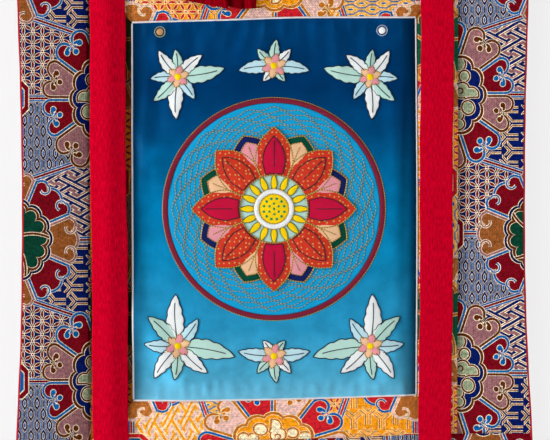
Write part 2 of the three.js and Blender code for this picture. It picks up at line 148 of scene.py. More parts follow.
# %% Seams and edges of the hanging
edge_rows = [
    {"depth": 0, "left": -261, "right": 256},
    {"depth": 120, "left": -257.6, "right": 253},
    {"depth": 230, "left": -253.6, "right": 250},
    {"depth": 340, "left": -252.2, "right": 249},
    {"depth": 450, "left": -253.5, "right": 251},
    {"depth": 560, "left": -258, "right": 257},
    {"depth": 760, "left": -264.5, "right": 264},
]
frame_rows = [
    {"depth": 100, "left": -186.5, "right": 183},
    {"depth": 330, "left": -185, "right": 182.8},
    {"depth": 560, "left": -184.3, "right": 182},
]
picture_rows = [
    {"depth": 142, "left": -143, "right": 140.8},
    {"depth": 330, "left": -142.6, "right": 142.2},
    {"depth": 518, "left": -141.5, "right": 141.2},
]
picture_head_rows = [
    {"x": -144, "depth": 142.5},
    {"x": -50, "depth": 140},
    {"x": 20, "depth": 137.6},
    {"x": 141, "depth": 137.4},
]
picture_foot_rows = [
    {"x": -142, "depth": 520.5},
    {"x": -50, "depth": 520.1},
    {"x": 45, "depth": 518.1},
    {"x": 141, "depth": 514.7},
]
frame_foot_rows = [
    {"x": -262, "depth": 561.5},
    {"x": -50, "depth": 560.3},
    {"x": 60, "depth": 558},
    {"x": 182, "depth": 553.4},
    {"x": 257, "depth": 552.8},
]
strip_width = 42
edge_left = through(edge_rows, "depth", "left")
edge_right = through(edge_rows, "depth", "right")
frame_left = through(frame_rows, "depth", "left")
frame_right = through(frame_rows, "depth", "right")
picture_left = through(picture_rows, "depth", "left")
picture_right = through(picture_rows, "depth", "right")
head_line = through(picture_head_rows, "x", "depth")
foot_line = through(picture_foot_rows, "x", "depth")
frame_foot_line = through(frame_foot_rows, "x", "depth")


def frame_head_line(x):
    """The seam above the inner frame: the picture's head, a strip's width higher."""
    return head_line(x) - strip_width


print("picture:", round(float(picture_right(330) - picture_left(330)), 1), "mm wide at mid height")

# %% [markdown]
# The whole hanging falls in soft upright folds, and its sides curl forward at mid height, because a
# stitched border is a little tighter than the cloth inside it. One function gives that shape, and
# every piece is laid on it, so they all move as one cloth.

# %% How the hanging falls
fold_rows = [
    {"x": -222, "width": 36, "head": 1, "middle": 5, "hem": 3},
    {"x": -150, "width": 34, "head": 0, "middle": -1.5, "hem": -5},
    {"x": -75, "width": 46, "head": 0, "middle": 1.2, "hem": 8},
    {"x": 5, "width": 40, "head": 0, "middle": 0, "hem": -4},
    {"x": 80, "width": 48, "head": 0, "middle": -1, "hem": 7},
    {"x": 158, "width": 34, "head": 0, "middle": 1.5, "hem": -4},
    {"x": 224, "width": 36, "head": 1.5, "middle": 5, "hem": 4},
]
hem_folds_start = 0.66
side_curl = 7
side_curl_start = 175
side_curl_width = 78


def fall(x, depth):
    """How far the middle of the cloth stands forward: a bell curve across for each fold, its height
    mixed from three levels, and a square law past the line where the side curl starts."""
    t = np.clip(depth / total_depth, 0, 1)
    middle_share = 4 * t * (1 - t)
    forward = 0
    for row in fold_rows:
        height = row["head"] * (1 - t) ** 2 + row["middle"] * middle_share
        height = height + row["hem"] * smooth(hem_folds_start, 1, t)
        forward = forward + height * np.exp(-(((x - row["x"]) / row["width"]) ** 2))
    past = np.maximum(0, np.abs(x) - side_curl_start) / side_curl_width
    return forward + side_curl * middle_share * past**2


print("forward at the left edge, mid height:", round(float(fall(-252, 340)), 2), "mm")

# %% [markdown]
# A crease is a soft ridge or trough beside a line. Each one is a listed row: the places
# where it starts and ends, its width, and how far it stands forward (a minus sign makes a trough).

# %% Creases placed one by one
crease_fade = 2.1


def creased(rows):
    """A height made of ridges: a bell curve of the distance from each row's line, times a flat-topped
    bell of the share of the way along it, so that it fades out at both ends."""
    def height(x, depth):
        total = 0
        for (x0, d0), (x1, d1), width, ridge in rows:
            length = np.hypot(x1 - x0, d1 - d0)
            along = ((x - x0) * (x1 - x0) + (depth - d0) * (d1 - d0)) / length**2
            across = ((x - x0) * (d1 - d0) - (depth - d0) * (x1 - x0)) / length
            fade = np.exp(-((crease_fade * (along - 0.5)) ** 4))
            total = total + ridge * fade * np.exp(-((across / width) ** 2))
        return total

    return height


# %% [markdown]
# Every sheet here is made the same way: a grid of points for its face, the same grid pushed back by
# the thickness of the cloth, and a wall round the edge that closes it. The grid also carries the
# flat position of each point on the cloth as its UV map, in millimetres, so a woven pattern follows
# the cloth over its folds.

# %% Pieces and meshes
def add_piece(name, mesh, node, slot_name, *materials):
    """Puts a mesh in the scene as a piece that rides on the hanging, and that stands for its node
    where it has one. The slot name is not used."""
    piece = bpy.data.objects.new(name, mesh)
    bpy.context.scene.collection.objects.link(piece)
    for material in materials:
        mesh.materials.append(material)
    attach(piece, "root")
    if node:
        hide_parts(node)
    print(name, len(mesh.polygons), "faces")
    return piece


def build_mesh(name, points, faces, places, material_of=None):
    """A mesh from arrays: points in millimetres, faces as blocks of rows of corner numbers, the flat
    place of each point for the UV map, and the number of each face's material."""
    mesh = bpy.data.meshes.new(name)
    mesh.from_pydata(np.asarray(points) * MM, [], [row for block in faces for row in block.tolist()])
    corners = np.empty(len(mesh.loops), np.int32)
    mesh.loops.foreach_get("vertex_index", corners)
    layer = mesh.uv_layers.new(name="cloth")
    layer.uv.foreach_set("vector", np.asarray(places, np.float32)[corners].ravel())
    if material_of is not None:
        mesh.polygons.foreach_set("material_index", np.asarray(material_of, np.int32))
    mesh.polygons.foreach_set("use_smooth", np.ones(len(mesh.polygons), bool))
    mesh.update()
    return mesh


def grid_faces(rows, columns, round_rows=False, round_columns=False):
    """The corner numbers of a grid's squares, front towards the viewer when rows run down. A round
    grid joins its last row or column to its first."""
    row, column = np.meshgrid(
        np.arange(rows if round_rows else rows - 1),
        np.arange(columns if round_columns else columns - 1),
        indexing="ij",
    )
    below, beside = (row + 1) % rows, (column + 1) % columns
    corners = [row * columns + column, below * columns + column,
               below * columns + beside, row * columns + beside]
    return np.stack(corners, -1).reshape(-1, 4)


# %% Sheets of cloth
def closed_sheet(name, face, back, uv):
    """A closed sheet from two grids of points, rows x columns x 3. The back's squares take the
    second material."""
    rows, columns = face.shape[:2]
    count = rows * columns
    squares = grid_faces(rows, columns)
    number = np.arange(count).reshape(rows, columns)
    rim = np.concatenate([number[:, 0], number[-1, 1:], number[-2::-1, -1], number[0, -2:0:-1]])
    after = np.roll(rim, -1)
    walls = np.stack([after, rim, rim + count, after + count], -1)
    points = np.concatenate([face.reshape(-1, 3), back.reshape(-1, 3)])
    flat_uv = uv.reshape(-1, 2)
    material_of = np.repeat([0, 1, 0], [len(squares), len(squares), len(walls)])
    return build_mesh(name, points, [squares, squares[:, ::-1] + count, walls],
                      np.concatenate([flat_uv, flat_uv]), material_of)


def on_cloth(x, depth, forward):
    """Points of the shared frame, from x, depth and forward."""
    x, depth, forward = np.broadcast_arrays(x, depth, forward)
    return np.stack([x, -forward, -depth], -1)


def laid_sheet(name, x, depth, forward, thickness, uv):
    """A closed sheet whose middle stands at forward, with half its thickness before and behind."""
    half = thickness / 2
    return closed_sheet(name, on_cloth(x, depth, forward + half), on_cloth(x, depth, forward - half), uv)


seam_marks = (0.5, 1.1, 2.0, 3.4, 5.5)


def spaced(length, step):
    """Shares from 0 to 1 along a length: even steps, with a few close ones at each end, where the
    cloth turns into its seam."""
    margin = seam_marks[-1]
    inner = np.linspace(margin + step, length - margin - step, max(2, round((length - 2 * margin) / step)))
    marks = np.concatenate([[0], seam_marks, inner, length - np.array(seam_marks)[::-1], [length]])
    return marks / length

# %% [markdown]
# Materials are written as node trees. A shader's nodes are easier to read as sums, so a small class
# stands for a number that changes over the surface: adding, multiplying or comparing two of them
# adds a Math node to the tree. Nodes are made in the order in which they are worked out.

# %% Sums that become Math nodes
class Number:
    """A number that changes over a surface: the output of a node in the tree that is being made."""

    tree = None

    def __init__(self, socket):
        self.socket = socket

    def __add__(self, other):
        return calc("ADD", self, other)

    __radd__ = __add__

    def __sub__(self, other):
        return calc("SUBTRACT", self, other)

    def __rsub__(self, other):
        return calc("SUBTRACT", other, self)

    def __mul__(self, other):
        return calc("MULTIPLY", self, other)

    __rmul__ = __mul__

    def __truediv__(self, other):
        return calc("DIVIDE", self, other)

    def __gt__(self, other):
        return calc("GREATER_THAN", self, other)

    def __lt__(self, other):
        return calc("LESS_THAN", self, other)

    def __neg__(self):
        return calc("MULTIPLY", self, -1.0)

    def __abs__(self):
        return calc("ABSOLUTE", self)


def feed(port, value):
    """Gives a node's input its value: another node's output, or a plain number or colour."""
    if isinstance(value, Number):
        value = value.socket
    if isinstance(value, bpy.types.NodeSocket):
        Number.tree.links.new(value, port)
    else:
        port.default_value = value


def add_node(kind, settings=None, **inputs):
    """Adds a node to the tree that is being made. Its settings are set before its inputs, because
    they say which inputs it has."""
    node = Number.tree.nodes.new(kind)
    for name, value in (settings or {}).items():
        setattr(node, name, value)
    for name, value in inputs.items():
        feed(node.inputs[name.replace("_", " ")], value)
    return node


def calc(operation, *values):
    """Adds one Math node and gives its output."""
    node = add_node("ShaderNodeMath", {"operation": operation})
    for port, value in zip(node.inputs, values):
        feed(port, value)
    return Number(node.outputs[0])


# %% Node groups and dyes
def new_group(name, inputs, outputs):
    """An empty shader node group with named sockets. Each is a pair: its name and its kind."""
    group = bpy.data.node_groups.new(name, "ShaderNodeTree")
    for direction, sockets in (("INPUT", inputs), ("OUTPUT", outputs)):
        for socket_name, kind in sockets:
            group.interface.new_socket(socket_name, in_out=direction, socket_type="NodeSocket" + kind)
    Number.tree = group
    return group, add_node("NodeGroupInput").outputs, add_node("NodeGroupOutput").inputs


def split(vector_socket):
    """The first two parts of a vector as numbers."""
    parts = add_node("ShaderNodeSeparateXYZ", Vector=vector_socket).outputs
    return Number(parts[0]), Number(parts[1])


def dye(red, green, blue):
    """A dyed colour, from its 0 to 255 strengths to the linear colour that shaders take."""
    share = np.array([red, green, blue]) / 255
    linear = np.where(share <= 0.04045, share / 12.92, ((share + 0.055) / 1.055) ** 2.4)
    return (*linear.tolist(), 1.0)


# %% [markdown]
# The brocade is a traditional figured silk. Two medallions stand chequerwise on it, A with ten
# petals and B with eight. A striped band parts the cloth into cells round them, and each quarter of
# a cell has its own small ground: stars, lozenges, a key fret and forked locks. It could be a
# picture wrapped over the cloth, but here all of it is worked out from distances and angles, so it
# stays sharp at any size. The answer is one number, the yarn that lies on top, and a colour ramp
# turns the yarn's number into its colour. The same weave then serves the navy and the orange cloth.

# %% Yarns and the size of the repeat
GROUND, CREAM, BLUE, MAROON, MAUVE, BROWN, GREEN, LEAF, CARAMEL, OCHRE, NAVY = range(11)
HALF_WIDTH = 98.0
HALF_HEIGHT = 138.7
CELL_HALF = 53.0
CELL_RUN = 3
print("repeat:", 2 * HALF_WIDTH, "by", 2 * HALF_HEIGHT, "mm")


# %% Steps that all figures share
def least(*values):
    """The smallest of several numbers."""
    return reduce(lambda one, other: calc("MINIMUM", one, other), values)


def most(*values):
    """The largest of several numbers."""
    return reduce(lambda one, other: calc("MAXIMUM", one, other), values)


def near(value, period):
    """How far a number is past the nearest of the marks that stand one period apart."""
    return calc("WRAP", value, period / 2, -period / 2)


def distance(x, y):
    """The length of the step (x, y)."""
    return calc("SQRT", x * x + y * y)


def choose(test, yes, no):
    """One of two values, by a test that is 1 or 0."""
    return calc("MULTIPLY_ADD", test, yes - no, no)


def bands(depth, first, *rows):
    """Coloured bands side by side: first is the yarn up to the first limit, and each row is
    (limit in millimetres, the yarn from there on)."""
    yarn = before = first
    for limit, after in rows:
        yarn = calc("MULTIPLY_ADD", calc("GREATER_THAN", depth, limit), after - before, yarn)
        before = after
    return yarn


# %% [markdown]
# The four small grounds come first. Each is a function of the place on the cloth, u across and v up
# in millimetres, and gives the yarn there. What repeats in the figure is a rounding or a mirror
# image, so that a few distances are enough for all of it.

# %% Stars and lozenges
def star_lattice(u, v):
    """Lens petals along the sides of flat triangles. In the skewed coordinates c and e every corner
    of the lattice is a pair of whole numbers, so each family of sides is a rounding away. A lens
    narrows by the square of the way along its side."""
    column, drop = 9.6, 6.6
    slant, narrowing = 10.9, 13.0
    c = (u / column - v / drop) * 0.5
    e = (u / column + v / drop) * 0.5
    from_c, from_e, level = near(c, 1), near(e, 1), c + e
    from_level = near(level, 1)
    along_level = (e - c - level + from_level) * 0.5
    lenses = []
    for across, reach, along in ((from_c, slant, e), (from_e, slant, c), (from_level, column, along_level)):
        step = calc("WRAP", along, 1, 0) - 0.5
        lenses.append(abs(across) * reach + step * step * narrowing)
    yarn = bands(least(*lenses), MAROON, (1.25, CREAM), (1.8, GROUND))
    corner = distance((from_c + from_e) * column, (from_e - from_c) * drop)
    return choose(corner < 1.7, bands(corner, MAROON, (0.95, CREAM)), yarn)


def lozenges(u, v):
    """Upright lozenges in rings. A wavy line parts each column from the next: it stands wide of a
    lozenge and close above and below it, where the next column's lozenges are. Which side of the
    line a point is on says which lozenge its rings belong to."""
    column, pitch = 12.4, 21.5
    bend, bend_slope = 1.55, 0.66
    across = abs(near(u - 2.0, column))
    along = abs(near(v, pitch))
    line = across - column / 4 - least(most((pitch / 4 - along) * bend_slope, -bend), bend)
    outside = line > 0.0
    x = choose(outside, column / 2 - across, across)
    y = choose(outside, pitch / 2 - along, along)
    ring = most(x, (x + (y - 1.0) * 0.62) / 1.29)
    yarn = bands(ring, BLUE, (0.9, CREAM), (1.3, NAVY), (2.9, CREAM), (3.2, NAVY))
    return choose(abs(line) < 0.85, bands(abs(line), BLUE, (0.65, CREAM)), yarn)


# %% Forked locks
def lock_chain(u, v):
    """Forked locks: two lines side by side that part at one end, with a small fork between. Every
    other row stands a little to the left."""
    pitch, column = 21.8, 27.2
    stem_half, parting_slope, parting_thin = 2.25, 1.2, 0.64
    stem_middle, stem_reach = 3.9, 7.9
    lines = []
    for push, lift in ((0.0, 0.0), (4.9, column / 2)):
        du = near(u + push, pitch)
        dv = abs(near(v + lift, column))
        parting = most(-du, 0.0)
        stem = abs(dv - stem_half - parting * parting_slope)
        stem = stem * choose(parting > 0.0, parting_thin, 1.0)
        past = most(abs(du - stem_middle) - stem_reach, 0.0)
        fork = abs(dv + (du + 3.0) * 1.1) * 0.67 + most(dv - 4.0, 0.0)
        lines.append(least(most(stem, past), fork))
    return bands(least(*lines), BROWN, (0.32, OCHRE), (0.62, CREAM), (1.1, GROUND))


# %% Key fret
# Charted one row of the weave to a line: # is the dark yarn. The whole repeat is this chart and its
# mirror images.
FRET = (
    ".######",
    ".#.....",
    ".#..##.",
    ".#...#.",
    ".##..#.",
    ".....#.",
    "######.",
)


def key_fret(u, v):
    """A key fret on a skewed grid. Each row of the chart is one whole number whose binary digits are
    its marks. The digit is read under a point and a little to each side: dark yarn where the middle
    one is dark, and edge yarn where only another one is."""
    repeat = 2 * (len(FRET) - 1)
    first_column, first_row, edge = 2.4, 11.54, 0.3
    run = u * 0.19 + v * 0.378
    descent = u * 0.1875 - v * 0.325
    marks = 0.0
    for shift, weight in ((-edge, 1.0), (edge, 1.0), (0.0, 3.0)):
        column = calc("FLOOR", abs(near(run - first_column + shift, repeat)) + 0.5)
        row = calc("FLOOR", abs(near(descent - first_row + shift, repeat)) + 0.5)
        number = 0.0
        for index, text in enumerate(FRET):
            value = sum(2**place for place, mark in enumerate(text) if mark == "#")
            number = calc("MULTIPLY_ADD", calc("COMPARE", row, index, 0.5), value, number)
        shown = calc("FLOOR", number / calc("POWER", 2.0, column))
        marks = calc("MULTIPLY_ADD", calc("FLOORED_MODULO", shown, 2), weight, marks)
    return bands(marks, MAUVE, (0.5, CREAM), (2.5, GROUND))


# %% [markdown]
# The grounds fill the quarters of each cell. Over them lie, in this order, the striped band along
# the cell's edge, an octagon where two cells meet at their sides, and the medallion. Both medallions
# are drawn by the same steps, so a table holds their sizes, A's and then B's.

# %% Sizes of the two medallions
PETAL_HALF_A, PETAL_HALF_B = radians(18), radians(22.5)
MEDALLIONS = {
    "petal half": (PETAL_HALF_A, PETAL_HALF_B),
    "petal sine": (sin(PETAL_HALF_A), sin(PETAL_HALF_B)),
    "petal cosine": (cos(PETAL_HALF_A), cos(PETAL_HALF_B)),
    "petal reach": (55.8, 59.0),
    "lobe radius": (9.0, 8.4),
    "lobe across": (9.5, 14.6),
    "lobe out": (58.6, 57.4),
    "arch radius": (-9.0, 13.5),
    "ring lobes": (6.0, 7.5),
    "ring radius": (36.0, 38.0),
    "ring rise": (4.2, 3.4),
}


def sized(near_b, name):
    """A size of the medallion that is nearer."""
    for_a, for_b = MEDALLIONS[name]
    return choose(near_b, for_b, for_a)


def upright(angle):
    """From 0 at the sides of a medallion to 0.5 towards its top and foot: the cosine of the angle,
    less that of the side petals, up to a limit."""
    return most(least(abs(calc("COSINE", angle)), 0.82) - 0.309, 0.0)


# %% Petals of the brocade
def petals(yarn, radius, angle, near_b, turn):
    """Ten petals round A and eight round B, each a wedge that ends in two round lobes. The upper and
    lower petals of A reach further than those at its sides. Three dots lie in each petal of A, and
    two hooks in each of B."""
    half = sized(near_b, "petal half")
    count = angle / (half * 2) + 0.5
    index = calc("FLOOR", count)
    local = (count - index - 0.5) * half * 2
    radius = radius / (1 + upright(angle) * (1 - near_b) * 0.2)
    x, y = abs(radius * calc("SINE", local)), radius * calc("COSINE", local)
    side = y * sized(near_b, "petal sine") - x * sized(near_b, "petal cosine")
    wedge = least(side, (sized(near_b, "petal reach") - y) * 4)
    from_lobe = distance(x - sized(near_b, "lobe across"), y - sized(near_b, "lobe out"))
    arch = sized(near_b, "arch radius") - distance(x, y - 54.5)
    depth = most(wedge, sized(near_b, "lobe radius") - from_lobe, arch)

    red = calc("COMPARE", calc("FLOORED_MODULO", index + choose(near_b, 1.0, turn), 2.0), 0.0, 0.5)
    line = choose(red, BLUE, choose(near_b, MAUVE, BROWN))
    fill = choose(red, MAROON, choose(near_b, CARAMEL, MAUVE))
    petal = bands(depth, CREAM, (0.35, line), (2.55, CREAM), (3.0, fill))

    tail = x - least(most(x, 3.4), 5.8)
    dots = least(distance(x - 7.2, y - 56.6) + 0.4, distance(tail, y - 58.6) + 1.7,
                 distance(x, y - 52.0) + 0.4)
    hooks = abs(distance(x - 11.4, y - 59.0) - 4.6) + 2.15 + (x > 13.2) * 9.0
    mark = choose(near_b, hooks, dots)
    petal = choose(mark < 3.5, bands(mark, line, (2.9, CREAM)), petal)
    return choose(depth > 0.0, petal, yarn)


# %% Hearts of the medallions
def leaves(x, y):
    """The curling leaves inside A, on both sides of its upright middle: x is the distance from the
    middle. Most are discs, given by radius and place. Later leaves lie over earlier ones."""
    def disc(radius, right, up):
        return radius - distance(x - right, y - up)

    low_edge = y + 3.8 + most(23 - x, 0.0) * 0.45
    yarn = GROUND
    for leaf in (
        10.5 - distance(x, y * 0.6 + 4.0),
        most(disc(6.6, 11.0, -18.5), disc(6.4, 11.8, -27.0)),
        disc(7.6, 21.2, -12.2),
        disc(8.6, 10.5, 28.5),
        disc(6.4, 17.0, 17.4),
        least(most(disc(8.8, 15.8, 4.3), disc(8.6, 25.0, 0.2)), low_edge),
    ):
        drawn = bands(leaf, CREAM, (0.5, BROWN), (2.1, CREAM), (2.6, LEAF))
        yarn = choose(leaf > 0.0, drawn, yarn)
    curl = abs(distance(x - 14.0, y - 4.0) - 2.6) + (x + y < 15.5) * 9.0
    return choose(curl < 0.75, BROWN, yarn)


def ribs(radius, angle):
    """The distance from the five bent ribs of B's leaf, or from its middle where that is less."""
    from_rib = abs(near(angle - radians(76) + (25 - radius) * 0.014, radians(72))) * radius
    return least(from_rib, radius - 4.0)


def hearts(yarn, radius, angle, near_b):
    """The scalloped ring of each medallion, and what it holds: curling leaves in A, broad lobed
    leaves in B."""
    radius = radius / (1 + upright(angle) * (1 - near_b) * 0.16)
    lobe_angle = (angle - near_b * radians(88)) * sized(near_b, "ring lobes")
    scallop = calc("POWER", abs(calc("COSINE", lobe_angle)), 0.6)
    edge = sized(near_b, "ring radius") + scallop * sized(near_b, "ring rise") - radius

    ring_a = bands(edge, CREAM, (0.0, BROWN), (2.7, CREAM), (3.3, GROUND))
    inside = leaves(abs(radius * calc("SINE", angle)), radius * calc("COSINE", angle))
    ring_a = choose(edge > 3.6, inside, ring_a)

    inner = edge - (1 - scallop) * 3.0
    ring_b = bands(edge, CREAM, (0.0, NAVY), (2.5, CREAM), (3.1, BROWN))
    ring_b = choose(inner > 5.3, bands(inner, CREAM, (5.9, GREEN)), ring_b)
    rib = ribs(radius, angle)
    ring_b = choose((rib < 1.8) * (edge > 3.1), bands(rib, BROWN, (1.2, CREAM)), ring_b)

    return choose(edge > -0.7, choose(near_b, ring_b, ring_a), yarn)


# %% The whole repeat
def grounds(du, dv, in_b):
    """The small ground of each quarter of a cell. In A's cells the fret and the locks stand at other
    places of their own repeat than in B's."""
    in_a = 1 - in_b
    upper = choose(du > 0.0, key_fret(du + in_a * 14.9, dv - in_a * 2.5), star_lattice(du, dv))
    lower = choose(du > 0.0, lock_chain(du, dv + 1.5 + in_b * 4.5), lozenges(du, dv))
    return choose(dv > 0.0, upper, lower)


def brocade(u, v, turn):
    """The yarn on top at each place of the cloth. A cell is a hexagon: its slanting edges rise by
    one for every CELL_RUN across, and its upright ones stand halfway between two medallions."""
    du_a, dv_a = near(u, 2 * HALF_WIDTH), near(v, 2 * HALF_HEIGHT)
    du_b, dv_b = near(u - HALF_WIDTH, 2 * HALF_WIDTH), near(v - HALF_HEIGHT, 2 * HALF_HEIGHT)
    in_b = abs(dv_a) - abs(du_a) / CELL_RUN > CELL_HALF
    du, dv = choose(in_b, du_b, du_a), choose(in_b, dv_b, dv_a)
    yarn = grounds(du, dv, in_b)

    edge = (CELL_HALF + abs(du) / CELL_RUN - abs(dv)) * cos(atan(1 / CELL_RUN))
    edge = least(edge, HALF_WIDTH - abs(du), abs(dv))
    band = bands(edge, MAROON, (1.05, CREAM), (1.5, BLUE), (3.15, CREAM))
    yarn = choose(edge < 3.5, band, yarn)

    side, rise = abs(HALF_WIDTH - abs(du)), abs(dv)
    octagon = most(side, rise, (side + rise) * 0.61) * 0.87
    stone = bands(octagon, MAROON, (4.8, CREAM), (7.4, BLUE), (10.6, CREAM), (11.3, MAROON),
                  (14.6, CREAM))
    yarn = choose(octagon < 15.4, stone, yarn)

    near_b = distance(du_b, dv_b) < distance(du_a, dv_a)
    du, dv = choose(near_b, du_b, du_a), choose(near_b, dv_b, dv_a)
    radius = distance(du, dv)
    angle = calc("ARCTAN2", du, dv)
    yarn = petals(yarn, radius, angle, near_b, turn)
    return hearts(yarn, radius, angle, near_b)


# %% The brocade as a node group
brocade_group, entry, leave = new_group(
    "medallion_brocade", [("Cloth", "Vector"), ("Turn", "Float")], [("Yarn", "Float")]
)
feed(leave["Yarn"], brocade(*split(entry["Cloth"]), Number(entry["Turn"])))
print("brocade group:", len(brocade_group.nodes), "nodes")

# %% [markdown]
# Seen close, every cloth here is threads. A weave group gives two things: how much the threads shade
# the colour, and how high they stand for the bump. It takes the flat position on the cloth and the
# width of a thread. A second group adds what dye and handling do: slow uneven patches.

# %% Weave and dye groups
weave_group, entry, leave = new_group(
    "weave",
    [("Cloth", "Vector"), ("Thread", "Float"), ("Slant", "Float")],
    [("Shade", "Float"), ("Height", "Float")],
)
across, along = split(entry["Cloth"])
thread, slant = Number(entry["Thread"]), Number(entry["Slant"])
warp = calc("SINE", across / thread * pi)
weft = calc("SINE", (along + across * slant) / thread * pi)
height = warp * 0.35 + weft * 0.65
feed(leave["Height"], height)
feed(leave["Shade"], height * 0.5 + 0.5)

dye_group, entry, leave = new_group(
    "uneven_dye", [("Cloth", "Vector"), ("Patch", "Float"), ("Depth", "Float")], [("Shade", "Float")]
)
closeness = calc("DIVIDE", 1.0, Number(entry["Patch"]))
noise = add_node("ShaderNodeTexNoise", Vector=entry["Cloth"], Scale=closeness, Detail=4, Roughness=0.6)
feed(leave["Shade"], 1 - Number(entry["Depth"]) * (Number(noise.outputs["Fac"]) * 2 - 0.6))
for group in (weave_group, dye_group):
    print(group.name, "group:", len(group.nodes), "nodes")


# %% [markdown]
# Every finish starts the same way: a Principled shader, and the flat place on the cloth from the UV
# map. The groups and the ramps then feed its colour and its bump. Dyed thread has a weak mirror
# reflection, so its shine is set low on the shader itself.

# %% Helpers that every finish uses
def new_finish(name, roughness, shine=0.12, **constants):
    """A material, the sockets of its Principled shader, and the place on the cloth. Shine is the
    strength of its mirror reflection."""
    material = bpy.data.materials.new(name)
    material.use_nodes = True
    Number.tree = material.node_tree
    shader = material.node_tree.nodes["Principled BSDF"].inputs
    settings = {"Roughness": roughness, "Specular IOR Level": shine, **constants}
    for socket_name, value in settings.items():
        shader[socket_name.replace("_", " ")].default_value = value
    place = add_node("ShaderNodeUVMap", {"uv_map": "cloth"}).outputs["UV"]
    return material, shader, place


def woven(group, place, **values):
    """Places a node group in the material, at the place on the cloth, and gives its outputs."""
    return add_node("ShaderNodeGroup", {"node_tree": group}, Cloth=place, **values).outputs


def between(share_socket, low, high):
    """A share from 0 to 1 turned into a number from low to high."""
    return Number(share_socket) * (high - low) + low


def shaded(colour, *shades):
    """A colour times each of the given shades."""
    for shade in shades:
        node = add_node("ShaderNodeVectorMath", {"operation": "SCALE"}, Scale=shade)
        feed(node.inputs[0], colour)
        colour = node.outputs[0]
    return colour


def dye_ramp(share, stops, interpolation="LINEAR"):
    """A colour for each share from 0 to 1, by a ramp whose stops are pairs: a share and its dye."""
    node = add_node("ShaderNodeValToRGB", Fac=share)
    node.color_ramp.interpolation = interpolation
    elements = node.color_ramp.elements
    while len(elements) < len(stops):
        elements.new(0.5)
    for element, (position, colour) in zip(elements, stops):
        element.position = position
        element.color = dye(*colour)
    return node.outputs["Color"]


def mixed_dyes(share, first, second):
    """The first dye where the share is 0, the second where it is 1, and a mix between."""
    settings = {"data_type": "RGBA"}
    node = add_node("ShaderNodeMix", settings, Factor=share, A=dye(*first), B=dye(*second))
    return node.outputs["Result"]


def raise_threads(shader, height_socket, depth):
    """Feeds a height, in millimetres from 0 to depth, through a Bump node into the normal."""
    bump = add_node("ShaderNodeBump", Strength=1.0, Distance=depth * MM, Height=height_socket)
    feed(shader["Normal"], bump.outputs["Normal"])


# %% [markdown]
# Two colourways share the weave: navy for the outer frame and orange for the inner one. A third is a
# darkened copy of the orange, painted shade for the strip that hangs in the shadow of a ribbon. Where
# threads float over the petals they lie in slanting lines, which the weave's shade gives. The turn says
# which petals of the ten are red, as the cloth was cut from different places. The back of such a cloth
# is its floats: dull lengthwise stripes of the same yarns.

# %% Brocade materials
navy_yarns = {
    GROUND: (4, 24, 94), CREAM: (254, 236, 202), BLUE: (0, 98, 170), MAROON: (122, 6, 24),
    MAUVE: (154, 104, 108), BROWN: (94, 40, 8), GREEN: (8, 64, 46), LEAF: (152, 166, 132),
    CARAMEL: (150, 86, 40), OCHRE: (216, 140, 62), NAVY: (2, 18, 72),
}
orange_yarns = {
    GROUND: (250, 158, 22), CREAM: (252, 228, 170), BLUE: (0, 94, 176), MAROON: (204, 32, 42),
    MAUVE: (236, 190, 178), BROWN: (196, 110, 26), GREEN: (20, 90, 60), LEAF: (252, 236, 196),
    CARAMEL: (184, 108, 48), OCHRE: (206, 124, 44), NAVY: (250, 180, 66),
}
# Painted shade: the orange yarns darkened, for the left strip that hangs in the shadow of a ribbon.
painted_shade_yarns = {
    GROUND: (206, 104, 8), CREAM: (190, 120, 60), BLUE: (40, 60, 70), MAROON: (120, 16, 10),
    MAUVE: (120, 70, 50), BROWN: (110, 50, 8), GREEN: (30, 40, 14), LEAF: (190, 150, 90),
    CARAMEL: (110, 50, 16), OCHRE: (170, 80, 14), NAVY: (50, 40, 50),
}


def brocade_finish(name, yarns, turn, light=1.0):
    """Figured silk: yarn number to colour by a stepped ramp, shaded by its threads, by a slanting
    twill, and by dye patches and thick threads."""
    material, shader, place = new_finish(name, 0.6, shine=0.03)
    yarn = woven(brocade_group, place, Turn=turn)["Yarn"]
    count = len(yarns)
    stops = [(number / count, colour) for number, colour in yarns.items()]
    colour = dye_ramp(between(yarn, 0.5 / count, 1.5 / count), stops, "CONSTANT")
    threads = woven(weave_group, place, Thread=0.42, Slant=0.0)
    twill = woven(weave_group, place, Thread=1.15, Slant=-0.8)
    patches = woven(dye_group, place, Patch=9.0, Depth=0.4)
    slubs = woven(dye_group, place, Patch=2.6, Depth=0.8)
    feed(shader["Base Color"], shaded(
        colour, between(threads["Shade"], 0.86 * light, light), between(twill["Shade"], 0.68, 1.2),
        patches["Shade"], slubs["Shade"],
    ))
    raise_threads(shader, threads["Height"], 0.08)
    return material


def plain_finish(name, colour, roughness, thread=0.4, slant=0.0, shade=0.16, patch=18.0,
                 patch_depth=0.16, relief=0.06, **constants):
    """A cloth of one colour: its threads shade it and raise it, and its dye is a little uneven."""
    material, shader, place = new_finish(name, roughness, **constants)
    ground = add_node("ShaderNodeRGB").outputs[0]
    ground.default_value = dye(*colour)
    threads = woven(weave_group, place, Thread=thread, Slant=slant)
    patches = woven(dye_group, place, Patch=patch, Depth=patch_depth)
    feed(shader["Base Color"], shaded(ground, between(threads["Shade"], 1 - shade, 1.0), patches["Shade"]))
    raise_threads(shader, threads["Height"], relief)
    return material


